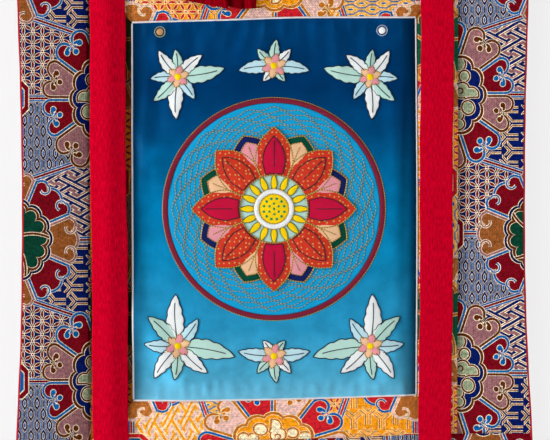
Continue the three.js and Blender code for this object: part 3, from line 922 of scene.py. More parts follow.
navy_brocade = brocade_finish("navy_brocade", navy_yarns, 0.0, light=1.9)
navy_brocade_turned = brocade_finish("navy_brocade_turned", navy_yarns, 1.0, light=1.56)
orange_brocade = brocade_finish("orange_brocade", orange_yarns, 0.0, light=1.75)
orange_brocade_turned = brocade_finish("orange_brocade_turned", orange_yarns, 1.0, light=1.95)
# A darkened copy of the orange brocade: painted shade for the left strip.
orange_brocade_painted_shade = brocade_finish("orange_brocade_painted_shade", painted_shade_yarns, 1.0)
reverse_thread = {"thread": 2.2, "shade": 0.4}
navy_reverse = plain_finish("navy_reverse", (112, 96, 128), 0.75, **reverse_thread)
orange_reverse = plain_finish("orange_reverse", (206, 152, 98), 0.75, **reverse_thread)
print("materials so far:", len(bpy.data.materials))

# %% [markdown]
# A pieced panel dips along its seams, where the needle pulls it down, and swells a little between
# them. The dip is a bell curve of the distance from the nearest seam. Neighbours lean into the same
# groove, so the seam reads as a dark line and no light shows through. Each panel gets its own few
# creases as well. Cloth simulation could settle such panels, but they are held flat by their seams,
# so a sum of a few curves is nearer to how they hang.

# %% How a pieced panel swells and creases
brocade_thickness = 1.5
seam_dip, seam_width = 1.4, 1.7
swell, swell_width = 0.5, 9.0
brocade_creases = creased([
    ((-232, 40), (-226, 240), 7, 0.5),
    ((-206, 250), (-214, 520), 9, 0.6),
    ((-240, 330), (-205, 350), 6, -0.4),
    ((-120, 575), (-128, 740), 14, 0.8),
    ((-30, 580), (-22, 745), 10, -0.6),
    ((62, 570), (70, 750), 12, 0.7),
    ((140, 572), (150, 745), 9, -0.7),
    ((205, 60), (212, 260), 8, 0.6),
    ((222, 300), (215, 520), 9, -0.5),
    ((-150, 530), (60, 536), 6, 0.35),
    ((20, 548), (170, 541), 5, -0.3),
    ((-90, 112), (40, 108), 6, 0.4),
    ((-120, 70), (-20, 40), 9, 0.6),
    ((60, 30), (150, 70), 9, 0.5),
])
print("crease on the bottom panel:", round(float(brocade_creases(-124, 660)), 2), "mm forward")


def seam_relief(columns, rows, width, height, sewn):
    """The dip along the sewn edges of a panel, and the swell beside it: bell curves of the distance
    from the nearest sewn edge."""
    u, v = np.meshgrid(columns, rows)
    edges = {"left": u * width, "right": (1 - u) * width, "head": v * height, "foot": (1 - v) * height}
    distance_in = np.min([edges[side] for side in sewn], axis=0)
    dip = -seam_dip * np.exp(-((distance_in / seam_width) ** 2))
    return dip + swell * (1 - np.exp(-((distance_in / swell_width) ** 2)))


# %% Panels between four lines
def panel_places(left, right, head, foot, margins, columns, rows):
    """x and depth of a grid between two upright lines and two level lines, each kept at its margin.
    The lines depend on each other, so the grid is settled by going round three times."""
    u, v = np.meshgrid(columns, rows)
    middle_depth = mix(head(0), foot(0), v)
    x = mix(left(middle_depth), right(middle_depth), u)
    for _ in range(3):
        depth = mix(head(x) + margins["head"], foot(x) - margins["foot"], v)
        x = mix(left(depth) + margins["left"], right(depth) - margins["right"], u)
    return x, depth


def level(depth):
    """A level line at one depth."""
    return lambda x: depth + 0 * x


def upright_cut(x_mark, depth_mark, stretch, u_mark=0.0, v_mark=0.0, across=1.0):
    """Cloth that stands upright: the medallion at (u_mark, v_mark) lies at (x_mark, depth_mark)."""
    def cut(x, depth):
        return np.stack([(x - x_mark) / across + u_mark, (depth_mark - depth) * stretch + v_mark], -1)

    return cut


def turned_cut(x_mark, depth_mark, stretch, across=1.0):
    """Cloth cut sideways, turned clockwise: its own upward direction runs to the right."""
    def cut(x, depth):
        return np.stack([(depth - depth_mark) / across, (x - x_mark) / stretch], -1)

    return cut


# %% Brocade panels
mesh_step = 3.5


def sewn_panel(row, place_on, sewn, slot_name):
    """A closed panel of brocade over its CAD node. Place_on gives x and depth
    for shares across and down. The row's cut says which part of the repeat it shows."""
    node, (width, height) = row["node"], row["size"]
    columns, rows = spaced(width, mesh_step), spaced(height, mesh_step)
    x, depth = place_on(columns, rows)
    low, high = node_box(node)
    relief = seam_relief(columns, rows, high[0] - low[0], high[2] - low[2], sewn)
    forward = fall(x, depth) + relief + brocade_creases(x, depth)
    mesh = laid_sheet(node + "_cloth", x, depth, forward, brocade_thickness, row["cut"](x, depth))
    piece = add_piece(node + "_cloth", mesh, node, slot_name, *row["materials"])
    width * MM
    height * MM


# %% [markdown]
# The outer frame is a top, two sides and a bottom panel. Their outer edges stop short of the
# hanging's own, which leaves room for the binding. At a seam two panels overlap by a hair, which
# closes it.

# %% Outer frame
seam_gap = -0.1
binding_room = 2.0
outer_rows = [
    {
        "node": "outer_top", "lines": (edge_left, edge_right, level(0.0), frame_head_line),
        "margins": {"left": binding_room, "right": binding_room, "head": 0, "foot": seam_gap},
        "size": (516, 96), "sewn": ("foot",), "cut": upright_cut(22, 36, 1.0),
        "materials": (navy_brocade_turned, navy_reverse),
    },
    {
        "node": "outer_left", "lines": (edge_left, frame_left, frame_head_line, frame_foot_line),
        "margins": {"left": binding_room, "right": seam_gap, "head": seam_gap, "foot": seam_gap},
        "size": (68, 462), "sewn": ("right", "head", "foot"),
        "cut": upright_cut(-165.5, 218.9, 0.984, across=0.987),
        "materials": (navy_brocade_turned, navy_reverse),
    },
    {
        "node": "outer_right", "lines": (frame_right, edge_right, frame_head_line, frame_foot_line),
        "margins": {"left": seam_gap, "right": binding_room, "head": seam_gap, "foot": seam_gap},
        "size": (68, 455), "sewn": ("left", "head", "foot"),
        "cut": upright_cut(171, 215, 1.0, across=0.997),
        "materials": (navy_brocade, navy_reverse),
    },
    {
        "node": "outer_bottom",
        "lines": (edge_left, edge_right, frame_foot_line, level(float(total_depth))),
        "margins": {"left": binding_room, "right": binding_room, "head": seam_gap, "foot": 0},
        "size": (520, 202), "sewn": ("head",),
        "cut": upright_cut(210, 514, 1.0, HALF_WIDTH, HALF_HEIGHT),
        "materials": (navy_brocade, navy_reverse),
    },
]
for row in outer_rows:
    place_on = partial(panel_places, *row["lines"], row["margins"])
    sewn_panel(row, place_on, row["sewn"], "navy_brocade")

# %% [markdown]
# The four strips of the inner frame meet in mitres, like a picture frame. A mitre is the line from
# the frame's outer corner to the picture's corner, so each end of a strip is cut along it: the
# strip's length shrinks from its outer edge to its inner one.

# %% Inner frame
frame_sides = {
    "head": (frame_head_line, head_line), "foot": (frame_foot_line, foot_line),
    "left": (frame_left, picture_left), "right": (frame_right, picture_right),
}


def mitre(side, end):
    """The outer and the inner corner that a mitre joins, as x and depth."""
    corners = []
    for upright_line, level_line in zip(frame_sides[side], frame_sides[end]):
        x = upright_line(level_line(0))
        corners.append((x, level_line(x)))
    return corners


def strip_places(side, columns, rows):
    """x and depth of a strip along one side of the picture. Its ends lie on two mitres, and across
    it the places run from its outer line to its inner one."""
    u, v = np.meshgrid(columns, rows)
    outer_line, inner_line = frame_sides[side]
    across = {"head": v, "foot": 1 - v, "left": u, "right": 1 - u}[side]
    if side in ("head", "foot"):
        (outer_a, inner_a), (outer_b, inner_b) = mitre("left", side), mitre("right", side)
        x = mix(mix(outer_a[0], inner_a[0], across), mix(outer_b[0], inner_b[0], across), u)
        return x, mix(outer_line(x), inner_line(x), across)
    (outer_a, inner_a), (outer_b, inner_b) = mitre(side, "head"), mitre(side, "foot")
    depth = mix(mix(outer_a[1], inner_a[1], across), mix(outer_b[1], inner_b[1], across), v)
    return mix(outer_line(depth), inner_line(depth), across), depth


inner_rows = [
    {"node": "inner_top", "side": "head", "size": (368, strip_width),
     "cut": turned_cut(-0.75, 91.5, 1.0275), "materials": (orange_brocade, orange_reverse)},
    {"node": "inner_bottom", "side": "foot", "size": (366, strip_width),
     "cut": turned_cut(-1.5, 570, 1.025, across=0.955),
     "materials": (orange_brocade_turned, orange_reverse)},
    # The left strip takes the darkened brocade: painted shadow of the left ribbon.
    {"node": "inner_left", "side": "left", "size": (strip_width, 460),
     "cut": upright_cut(-163, 165, 1.01, HALF_WIDTH, HALF_HEIGHT),
     "materials": (orange_brocade_painted_shade, orange_reverse)},
    {"node": "inner_right", "side": "right", "size": (strip_width, 455),
     "cut": upright_cut(165, 165, 1.0087, HALF_WIDTH, HALF_HEIGHT),
     "materials": (orange_brocade_turned, orange_reverse)},
]
all_round = ("left", "right", "head", "foot")
for row in inner_rows:
    sewn_panel(row, partial(strip_places, row["side"]), all_round, "orange_brocade")

# %% [markdown]
# The picture's ground is one piece of silk satin, dyed from deep blue at its head to light blue at
# its foot. Satin shows every pucker, so the creases do most of the work: short ones stand along the
# foot, where the stitches draw it in, longer ones run up from the lower left corner, and fine
# ripples hang from the head.

# %% Creases of the satin
satin_thickness = 1.4
field_creases = creased(
    [
        ((-150, 416), (-82, 534), 15, 4.0),
        ((-128, 416), (-70, 500), 9, -1.6),
        ((-137, 470), (-134, 380), 5, 1.4),
        ((-96, 482), (-74, 494), 4, 1.0),
        ((-140, 240), (-108, 316), 10, 2.4),
        ((-126, 190), (-133, 330), 6, 1.6),
        ((-112, 170), (-118, 260), 8, -1.4),
        ((-122, 146), (-112, 200), 6, 1.6),
        ((124, 520), (92, 430), 11, 2.6),
        ((136, 480), (112, 400), 8, -1.2),
        ((131, 200), (128, 470), 6, -1.8),
        ((116, 200), (124, 330), 8, 1.6),
        ((88, 146), (96, 200), 7, 1.7),
        ((60, 142), (66, 206), 8, 1.9),
        ((30, 142), (36, 182), 6, -1.2),
        ((-8, 142), (-14, 186), 7, 1.7),
        ((-44, 142), (-52, 176), 6, 1.2),
        ((-78, 142), (-84, 196), 7, -1.5),
        ((-70, 518), (-66, 498), 3.2, 1.3),
        ((-58, 518), (-57, 500), 3.0, 1.2),
        ((-45, 518), (-47, 498), 3.4, 1.3),
    ]
    + [
        ((x, 519), (x + 4 * sin(x), 501 + 3 * sin(2.3 * x)), 3.4, 1.0 + 0.5 * sin(1.7 * x))
        for x in range(-130, 135, 13)
    ]
    + [
        ((x, 139), (x + 2 * sin(x), 156 + 5 * sin(1.9 * x)), 3.4, 0.9)
        for x in range(-128, 135, 17)
    ]
)


def field_fall(x, depth):
    """The middle of the satin: the fall of the hanging with the satin's own creases."""
    return fall(x, depth) + field_creases(x, depth)


print("satin's lower left fold:", round(float(field_creases(-116, 475)), 1), "mm forward")

# %% [markdown]
# Satin gathers the light on its broad folds, more than a plain shader shows, so each such gleam is
# also painted into the colour as a painted highlight. Its dye deepens with height, and painted shadow
# darkens the two sides of the field, which lie in the shade of the ribbons.

# %% Satin ground
# Painted highlights: gleams of the satin's sheen on its broad folds, painted into its colour.
painted_satin_highlights = [
    {"x": -120, "depth": 468, "lean": 28, "length": 34, "width": 8, "gain": 0.6},
    {"x": -98, "depth": 496, "lean": 36, "length": 26, "width": 7, "gain": 0.3},
    {"x": 112, "depth": 478, "lean": -20, "length": 28, "width": 7, "gain": 0.45},
    {"x": 88, "depth": 498, "lean": -12, "length": 14, "width": 5, "gain": 0.2},
    {"x": -124, "depth": 274, "lean": -48, "length": 15, "width": 6, "gain": 0.4},
    {"x": -107, "depth": 190, "lean": 24, "length": 17, "width": 8, "gain": 0.4},
    {"x": -38, "depth": 164, "lean": -16, "length": 13, "width": 6, "gain": 0.4},
    {"x": 94, "depth": 190, "lean": 12, "length": 15, "width": 8, "gain": 0.35},
    {"x": 126, "depth": 200, "lean": -10, "length": 18, "width": 5, "gain": 0.35},
]

field_width, field_height = 284, 377
satin_head, satin_foot = 140, 518
satin_blues = [
    (0.0, (0, 58, 108)), (0.18, (0, 50, 100)), (0.3, (0, 74, 126)), (0.5, (0, 126, 180)),
    (0.64, (14, 140, 190)), (0.82, (46, 160, 206)), (0.94, (80, 180, 217)), (1.0, (116, 198, 229)),
]
# Painted shadow of the ribbons on the satin's two sides: how wide it reaches and how dark it gets.
left_painted_shadow = {"width": 10.5, "depth": 0.7}
right_painted_shadow = {"width": 14.0, "depth": 0.93}


def painted_sheen(side, down):
    """Painted highlight where the satin's sheen gathers on its broad folds: 1, and more along each sweep,
    which fades like a bell both ways from its middle."""
    shade = 1.0
    for row in painted_satin_highlights:
        lean = radians(row["lean"])
        right, below = side - row["x"], down - row["depth"]
        along = (below * cos(lean) + right * sin(lean)) / row["length"]
        across = (right * cos(lean) - below * sin(lean)) / row["width"]
        shade = shade + calc("EXPONENT", -(along * along + across * across)) * row["gain"]
    return shade


def satin_ground_finish():
    """Satin whose blue changes with depth, read from the UV map's second part, and painted shadow that
    darkens it towards its two sides by a bell curve."""
    material, shader, place = new_finish("blue_satin", 0.36, shine=0.8, Specular_Tint=dye(8, 130, 210))
    side, up = split(place)
    blue = dye_ramp((up * -1 - satin_head) / (satin_foot - satin_head), satin_blues)
    threads = woven(weave_group, place, Thread=0.3, Slant=0.35)
    patches = woven(dye_group, place, Patch=24.0, Depth=0.4)
    # Painted shadow: the satin darkens by a bell curve towards each side.
    painted_edge_shadow = 1.0
    for inward, row in ((side + field_width / 2, left_painted_shadow), (field_width / 2 - side, right_painted_shadow)):
        reach = inward / row["width"]
        painted_edge_shadow = (1 - row["depth"] * calc("EXPONENT", -(reach * reach))) * painted_edge_shadow
    feed(shader["Base Color"], shaded(
        blue, between(threads["Shade"], 0.94, 1.0), patches["Shade"], painted_sheen(side, -up), painted_edge_shadow,
    ))
    raise_threads(shader, threads["Height"], 0.03)
    return material


blue_satin = satin_ground_finish()
satin_reverse = plain_finish("satin_reverse", (84, 134, 168), 0.7, thread=0.35)
print("satin:", blue_satin.name, "with", len(painted_satin_highlights), "gleams, and", satin_reverse.name)

# %% Field
field_step, field_margin = 2.0, 0.2
x, depth = panel_places(picture_left, picture_right, head_line, foot_line,
                        dict.fromkeys(all_round, field_margin),
                        spaced(field_width, field_step), spaced(field_height, field_step))
field_mesh = laid_sheet("field_cloth", x, depth, field_fall(x, depth), satin_thickness,
                        np.stack([x, -depth], -1))
field = add_piece("field_cloth", field_mesh, "field", "blue_satin", blue_satin, satin_reverse)

# %% [markdown]
# A cord is a small section carried along a path. At each step the section stands square to the
# path, between the direction towards the viewer and the one across it. A twisted cord's section has
# a bulge for each strand and turns as it goes, which gives the slanting ridges of real piping. A
# curve object with a bevel would be quicker to make, but it can't twist its section in this way.

# %% Cords along paths
strand_floor = 0.74


def cord_points(path, radius, sides, closed, strands=0, pitch=4.0, flat=1.0):
    """Rings of points along a path, rows x sides x 3, and their flat places. The radius has a bulge
    for each strand, whose place turns once in a pitch; flat squeezes the cord towards the cloth."""
    if closed:
        tangent = np.roll(path, -1, 0) - np.roll(path, 1, 0)
    else:
        tangent = np.gradient(path, axis=0)
    tangent /= np.linalg.norm(tangent, axis=1, keepdims=True)
    side = np.cross(tangent, np.array([0.0, -1.0, 0.0]))
    side /= np.linalg.norm(side, axis=1, keepdims=True)
    front = np.cross(side, tangent)
    step = np.linalg.norm(np.diff(path, axis=0, prepend=path[:1]), axis=1)
    travelled = np.cumsum(step)
    turn = np.arange(sides) * 2 * pi / sides
    reach = np.full((len(path), sides), float(radius))
    if strands:
        phase = (turn[None, :] - travelled[:, None] * 2 * pi / pitch) * strands / 2
        reach = radius * (strand_floor + (1 - strand_floor) * np.abs(np.cos(phase)))
    across = (reach * np.cos(turn))[..., None] * side[:, None]
    out = (reach * np.sin(turn) * flat)[..., None] * front[:, None]
    uv = np.stack(np.broadcast_arrays(turn[None, :] * radius, travelled[:, None]), -1)
    return path[:, None] + across + out, uv


def cords_mesh(name, paths, radius, sides=6, closed=True, **shape):
    """One mesh of many cords; open ones are capped at both ends."""
    points, places, faces, first = [], [], [], 0
    for path in paths:
        rings, uv = cord_points(np.asarray(path, float), radius, sides, closed, **shape)
        count = len(rings)
        faces.append(grid_faces(count, sides, closed, True)[:, [0, 3, 2, 1]] + first)
        if not closed:
            end = np.arange(sides)
            faces += [end[None, ::-1] + first, end[None, :] + first + (count - 1) * sides]
        points.append(rings.reshape(-1, 3))
        places.append(uv.reshape(-1, 2))
        first += count * sides
    return build_mesh(name, np.concatenate(points), faces, np.concatenate(places))


# %% [markdown]
# White piping of two twisted strands is caught in the seam between the picture and its frame. It is
# cut in four lengths. The upright ones are butted between the level ones, since a corner bent into
# such a stiff cord would not lie flat.

# %% Piping round the picture
piping_radius = 1.1
piping_step = 0.55
piping_above = 0.2
picture_middle = 330
piping_white = plain_finish("piping_white", (244, 238, 240), 0.6, thread=0.3, slant=1.0, shade=0.12)
piping_rows = [
    {"node": "piping_top", "line": head_line, "length": 284},
    {"node": "piping_bottom", "line": foot_line, "length": 283},
    {"node": "piping_left", "line": picture_left, "length": 378},
    {"node": "piping_right", "line": picture_right, "length": 375},
]
for row in piping_rows:
    line, name = row["line"], row["node"] + "_cord"
    share = np.linspace(0, 1, max(2, round(row["length"] / piping_step)))
    if line in (head_line, foot_line):
        x = mix(picture_left(line(0)), picture_right(line(0)), share)
        depth = line(x)
    else:
        x = line(picture_middle)
        depth = mix(head_line(x) + piping_radius, foot_line(x) - piping_radius, share)
        x = line(depth)
    path = on_cloth(x, depth, field_fall(x, depth) + piping_above)
    mesh = cords_mesh(name, [path], piping_radius, 10, closed=False, strands=2, pitch=3.6)
    add_piece(name, mesh, row["node"], "white_piping", piping_white)

# %% [markdown]
# The outer sides are bound with a narrow red tape, folded over the raw edge and stitched down. It is
# a flattened roll that wavers a little, with a thread pulled tight at every stitch: each of these is
# a small sine of the depth.

# %% Edge binding
binding_radius = 1.2
binding_inward = 0.15
binding_steps = 420
binding_red = plain_finish("binding_red", (196, 18, 40), 0.55, thread=0.5, slant=0.6, shade=0.3)
for node, line, inward in (("binding_left", edge_left, 1), ("binding_right", edge_right, -1)):
    depth = np.linspace(0, 1, binding_steps) * total_depth
    waver = 0.14 * np.sin(depth / 9.1) + 0.1 * np.sin(depth / 23.7 + 1)
    x = line(depth) + inward * (binding_radius + binding_inward) + waver
    path = on_cloth(x, depth, fall(x, depth) + 0.12 * np.sin(depth / 1.9))
    mesh = cords_mesh(node + "_tape", [path], binding_radius * 1.05, 10, closed=False, flat=0.8)
    add_piece(node + "_tape", mesh, node, "red_binding", binding_red)

# %% [markdown]
# The picture is applique: each shape is cut from silk satin, laid on the ground or on the shape
# below, and sewn down round its edge, so it swells a little in the middle. One function makes such a
# patch from any closed outline. Its rings shrink towards a middle point, and their height is that of
# a low dome that rolls over at the edge. An inflated cloth would give the same shape, but slowly.

# %% Domed patches
patch_rings = np.array([0.16, 0.34, 0.52, 0.68, 0.81, 0.9, 0.955, 0.985, 1.0])
edge_roll = 0.96
first_layer = satin_thickness / 2 + 0.1
layer_step = 1.35


def flat_area(outline):
    """The area inside an outline, above zero where it runs clockwise as the viewer sees it."""
    x, depth = np.asarray(outline).T
    return float(np.sum(x * np.roll(depth, -1) - np.roll(x, -1) * depth)) / 2


def patch(outline, middle, layer, rise=0.6, thick=0.7):
    """Points, faces and flat places of one domed patch. The height is (thick + rise (1 - s^2)) times
    the root of 1 - edge_roll s^12, where s is the share of the way from the middle to the edge."""
    outline = np.asarray(outline, float)
    if flat_area(outline) < 0:
        outline = outline[::-1]
    middle = np.asarray(middle, float)
    count, rings = len(outline), len(patch_rings)
    share = patch_rings[:, None, None]
    flat = np.concatenate([[middle], (middle + (outline - middle) * share).reshape(-1, 2), outline, [middle]])
    height = (thick + rise * (1 - patch_rings**2)) * np.sqrt(1 - edge_roll * patch_rings**12)
    height = np.concatenate([[thick + rise], np.repeat(height, count), np.zeros(count + 1)])
    x, depth = flat.T
    points = on_cloth(x, depth, field_fall(x, depth) + first_layer + layer * layer_step + height)
    here = np.arange(count)
    after = np.roll(here, -1)
    faces = [np.stack([0 * here, 1 + after, 1 + here], -1)]
    for ring in range(rings):
        inner, outer = 1 + ring * count, 1 + (ring + 1) * count
        faces.append(np.stack([inner + here, inner + after, outer + after, outer + here], -1))
    back = 1 + rings * count
    faces.append(np.stack([back + count + 0 * here, back + here, back + after], -1))
    return points, faces, np.stack([x, -depth], -1)


def joined(name, parts):
    """One mesh from several patches. Each part is a pair: a patch and the number of its material."""
    points, faces, places, material_of, first = [], [], [], [], 0
    for (part_points, part_faces, part_places), number in parts:
        points.append(part_points)
        faces += [block + first for block in part_faces]
        material_of += [number] * sum(len(block) for block in part_faces)
        places.append(part_places)
        first += len(part_points)
    return build_mesh(name, np.concatenate(points), faces, np.concatenate(places), material_of)


# %% Applique pieces
strip_fill = 0.35
narrowest_strip = 10.0


def applique(name, node, slot_name, parts, silks, outlines):
    """A piece made of patches, cut side by side from one strip of cloth. The strip's width is worked
    out, as wide as all outlines together, or less where they fill too little of it, but not used further."""
    piece = add_piece(name, joined(name, parts), node, slot_name, *[silk[key] for key in silks])
    area = sum(abs(flat_area(outline)) for outline in outlines)
    sizes = np.array([np.ptp(outline, axis=0) for outline in outlines])
    height = float(sizes[:, 1].max())
    width = max(narrowest_strip, min(float(sizes[:, 0].sum()), area / height / strip_fill))
    width * MM
    area * MM * MM


# %% [markdown]
# Every outline on the picture is a function of an angle round some middle: a lotus and its leaves
# are round patterns, and a seamstress marks them out with a compass too.

# %% Places and outlines round a middle
def polar(middle, radius, angle, side=1, flip=1):
    """x and depth at a radius and an angle, clockwise from straight up; side and flip mirror it."""
    across, up = radius * np.sin(angle), radius * np.cos(angle)
    return np.stack([middle[0] + side * across, middle[1] - flip * up], -1)


def petal_outline(middle, angle, half_angle, root, notch, tip, steps=21):
    """A pointed petal: full shoulders that run up to a small sharp tip, the same curve as in the
    CAD model, closed along its root. With r the share of the way from its side to its middle, the
    edge rises by 0.8 (1 - (1 - r)^2) + 0.2 r^4 of the way from the notch to the tip."""
    across = np.linspace(-1, 1, steps)
    rise = 1 - np.abs(across)
    radius = mix(notch, tip, 0.8 * (1 - (1 - rise) ** 2) + 0.2 * rise**4)
    edge = polar(middle, radius, angle + across * half_angle)
    sides = np.linspace(notch, root, 7)[1:-1]
    right = polar(middle, sides, angle + half_angle)
    left = polar(middle, sides[::-1], angle - half_angle)
    foot = polar(middle, root, angle - np.linspace(-1, 1, 7) * half_angle)
    return np.concatenate([edge, right, foot, left])


def round_outline(middle, radius, count=96, lobes=0, lobe=0.0):
    """A circle, or a ring of round lobes."""
    angle = np.arange(count) * 2 * pi / count
    return polar(middle, radius - lobe * (1 - np.abs(np.sin(lobes * angle / 2))), angle)


def leaf_outline(middle, heading, start, reach, half_width, lobes=0, side=1, flip=1, bend=0.0):
    """A leaf along a heading, with a lobed edge: its half width is a bell along its length times a
    row of small arches. Bend curls the tip to one side. Gives the outline and the middle vein."""
    t = np.linspace(0, 1, 29)
    spine_angle = heading + bend * t**2
    radius = mix(start, reach, t)
    arches = 0.82 + 0.18 * np.abs(np.sin(lobes * pi * t)) if lobes else 1.0
    width = half_width * np.sin(pi * t**0.75) ** 0.8 * arches
    turn = np.arctan2(width, radius)
    left = polar(middle, radius, spine_angle - turn, side, flip)
    right = polar(middle, radius, spine_angle + turn, side, flip)
    vein = polar(middle, radius[2:-5], spine_angle[2:-5], side, flip)
    return np.concatenate([left, right[-2:0:-1]]), vein


# %% Cords laid on the applique
cord_above = 0.35
cord_step = 0.9


def laid_path(places, layer, above=cord_above, closed=True):
    """A path for a cord that lies along a line on the applique, in even steps."""
    places = np.concatenate([places, places[:1]]) if closed else places
    along = np.concatenate([[0], np.cumsum(np.hypot(*np.diff(places, axis=0).T))])
    count = max(4, round(along[-1] / cord_step))
    mark = np.linspace(0, along[-1], count + 1)[: count if closed else count + 1]
    x, depth = np.interp(mark, along, places[:, 0]), np.interp(mark, along, places[:, 1])
    return on_cloth(x, depth, field_fall(x, depth) + first_layer + layer * layer_step + above)


def laid_cords(name, slot_name, material, outlines, veins=(), radius=0.5, sides=6):
    """Cords sewn along closed outlines and open veins, each given as a pair: its places and its
    layer. All outlines are one piece, and all veins another."""
    for kind, lines in (("outline", outlines), ("vein", veins)):
        closed = kind == "outline"
        paths = [laid_path(places, layer, closed=closed) for places, layer in lines]
        if paths:
            mesh = cords_mesh(f"{name}_{kind}", paths, radius, sides, closed)
            add_piece(f"{name}_{kind}", mesh, None, slot_name, material)


# %% [markdown]
# The silks are plain satins in the few strong colours of such work. One of them is figured: the red
# of the petals is sprinkled with small gold flowers. Gold thread is a flat metal strip wound on silk,
# so it glints in short dashes.

# %% Silks and gold thread
def sprinkled_finish(name, colour, spot_colour, spacing, spot):
    """Satin with small spots: the places less than a spot from the middle of their irregular cell."""
    material, shader, place = new_finish(name, 0.42, shine=0.2)
    cells = add_node("ShaderNodeTexVoronoi", {"voronoi_dimensions": "2D"}, Vector=place,
                     Scale=1 / spacing, Randomness=0.55)
    spots = mixed_dyes(Number(cells.outputs["Distance"]) < spot, colour, spot_colour)
    threads = woven(weave_group, place, Thread=0.3, Slant=0.3)
    patches = woven(dye_group, place, Patch=9.0, Depth=0.25)
    feed(shader["Base Color"], shaded(spots, between(threads["Shade"], 0.9, 1.0), patches["Shade"]))
    raise_threads(shader, threads["Height"], 0.03)
    return material


def dashed_finish(name, colour, gap_colour, dash, roughness=0.4, **constants):
    """A thread that shows in dashes: where the sine of the way along it is above a low mark."""
    material, shader, place = new_finish(name, roughness, **constants)
    _, travelled = split(place)
    shown = calc("SINE", travelled * (2 * pi / dash)) > -0.35
    feed(shader["Base Color"], mixed_dyes(shown, gap_colour, colour))
    return material


satin_colours = {
    "sky_silk": (24, 160, 214), "mint_silk": (186, 224, 212), "white_silk": (238, 242, 242),
    "ice_silk": (190, 226, 236), "yellow_silk": (252, 212, 20), "crimson_silk": (196, 22, 62),
    "green_silk": (22, 146, 98), "pine_silk": (12, 74, 58), "navy_silk": (24, 34, 92),
    "pink_silk": (232, 152, 164), "peach_silk": (240, 192, 150), "maroon_silk": (124, 36, 56),
}
silk = {
    name: plain_finish(name, colour, 0.4, thread=0.3, slant=0.3, shade=0.08, patch=12.0, patch_depth=0.12,
                       relief=0.03, shine=0.3, Specular_Tint=dye(*colour))
    for name, colour in satin_colours.items()
}
silk["vermilion_silk"] = sprinkled_finish("vermilion_silk", (214, 52, 24), (216, 168, 96), 5.2, 0.16)
gold_thread = dashed_finish("gold_thread", (204, 168, 84), (120, 92, 48), 2.6, Metallic=0.35)
couched_gold = dashed_finish("couched_gold", (188, 166, 30), (20, 112, 150), 3.4, 0.45)
cord_weave = {"thread": 0.35, "slant": 1.0, "shade": 0.3}
dark_cord = plain_finish("dark_cord", (30, 44, 62), 0.6, **cord_weave)
pine_cord = plain_finish("pine_cord", (40, 84, 74), 0.6, **cord_weave)
print("silks:", ", ".join(silk))

# %% [markdown]
# The medallion is built up from the ground: a sky-blue disc inside a maroon rim, quilted with rows
# of couched gold thread, then eight dark petals with pale hearts, a mint disc with a ring of small
# yellow petals, eight red petals, a white ring and a domed yellow seed head. It is a general lotus
# design and shows no figure.

# %% Medallion disc and rim
centre = np.array([medallion_x, medallion_depth])
circle = np.arange(360) * 2 * pi / 360


def folded_ring(name, node, slot_name, finish, size, layer, above, flat):
    """A strip of satin folded double and laid in a ring, flattened towards the cloth. Size is the
    radius that it lies round, its half width and the gap between the two."""
    inner, half, gap = size
    path = laid_path(polar(centre, inner + gap + half, circle), layer, above=above)
    ring = add_piece(name, cords_mesh(name, [path], half, 10, flat=flat), node, slot_name, finish)


disc_radius = 106.0
disc_outline = round_outline(centre, disc_radius, 144)
applique("sky_disc_silk", "sky_disc", "sky_satin", [(patch(disc_outline, centre, 0, rise=0.3), 0)],
         ["sky_silk"], [disc_outline])
rim_half = 2.45
folded_ring("rim_silk", "rim", "maroon_satin", silk["maroon_silk"], (disc_radius, rim_half, 0.15),
            0, 0.5, 0.36)

wave_count, wave_height = 24, 1.5
gold_layer = 0.62
gold_rows = [
    (polar(centre, radius + wave_height * np.cos(wave_count * circle + 0.5 * radius), circle), gold_layer)
    for radius in np.arange(62, 104, 3.5)
]
laid_cords("disc_gold", "sky_satin", couched_gold, gold_rows, radius=0.34, sides=4)
rim_edge = polar(centre, disc_radius + 2 * rim_half + 0.5, circle)
laid_cords("rim_edge", "maroon_satin", gold_thread, [(rim_edge, 0.0)], radius=0.4, sides=5)

# %% [markdown]
# A ring of petals is eight equal patches turned about the middle, each with a smaller patch, its
# heart, upon it. A cord hides the raw edge of every patch, and one more is the vein of the heart.

# %% Petals of the medallion
petal_fill = 0.985
heart_lift = 0.75
cord_lift = 0.2
vein_lift = 0.7


def petal_ring(row):
    """A ring of petals with hearts, from its sizes: the radii of the root, the notch between two
    petals and the tip, the border round the heart, and the heart's share of the width."""
    step, layer = 2 * pi / row["count"], row["layer"]
    root, notch, tip, border = row["root"], row["notch"], row["tip"], row["border"]
    silks = sorted(set(row["silks"] + row["heart_silks"]))
    parts, outlines, heart_outlines, veins = [], [], [], []
    for number in range(row["count"]):
        angle = row["turn"] + number * step
        outline = petal_outline(centre, angle, step / 2 * petal_fill, root, notch, tip)
        heart = petal_outline(centre, angle, step / 2 * row["heart"], root + 1.5, notch - 2, tip - border)
        waist = polar(centre, (root + notch) / 2 + 5, angle)
        petal_silk = silks.index(row["silks"][number % len(row["silks"])])
        heart_silk = silks.index(row["heart_silks"][number % len(row["heart_silks"])])
        parts += [(patch(outline, waist, layer), petal_silk),
                  (patch(heart, waist, layer + heart_lift, rise=0.7, thick=0.5), heart_silk)]
        outlines.append(outline)
        heart_outlines.append(heart)
        veins.append(polar(centre, np.linspace(row["vein"], tip - border - 5, 12), angle))
    name, slot_name = row["name"], row["slot"]
    applique(name, row["node"], slot_name, parts, silks, outlines + heart_outlines)
    laid_cords(name, slot_name, row["cord"], [(line, layer + cord_lift) for line in outlines], radius=0.6)
    laid_cords(name + "_heart", slot_name, row["heart_cord"],
               [(line, layer + heart_lift + cord_lift) for line in heart_outlines],
               [(line, layer + heart_lift + vein_lift) for line in veins], radius=0.42, sides=5)


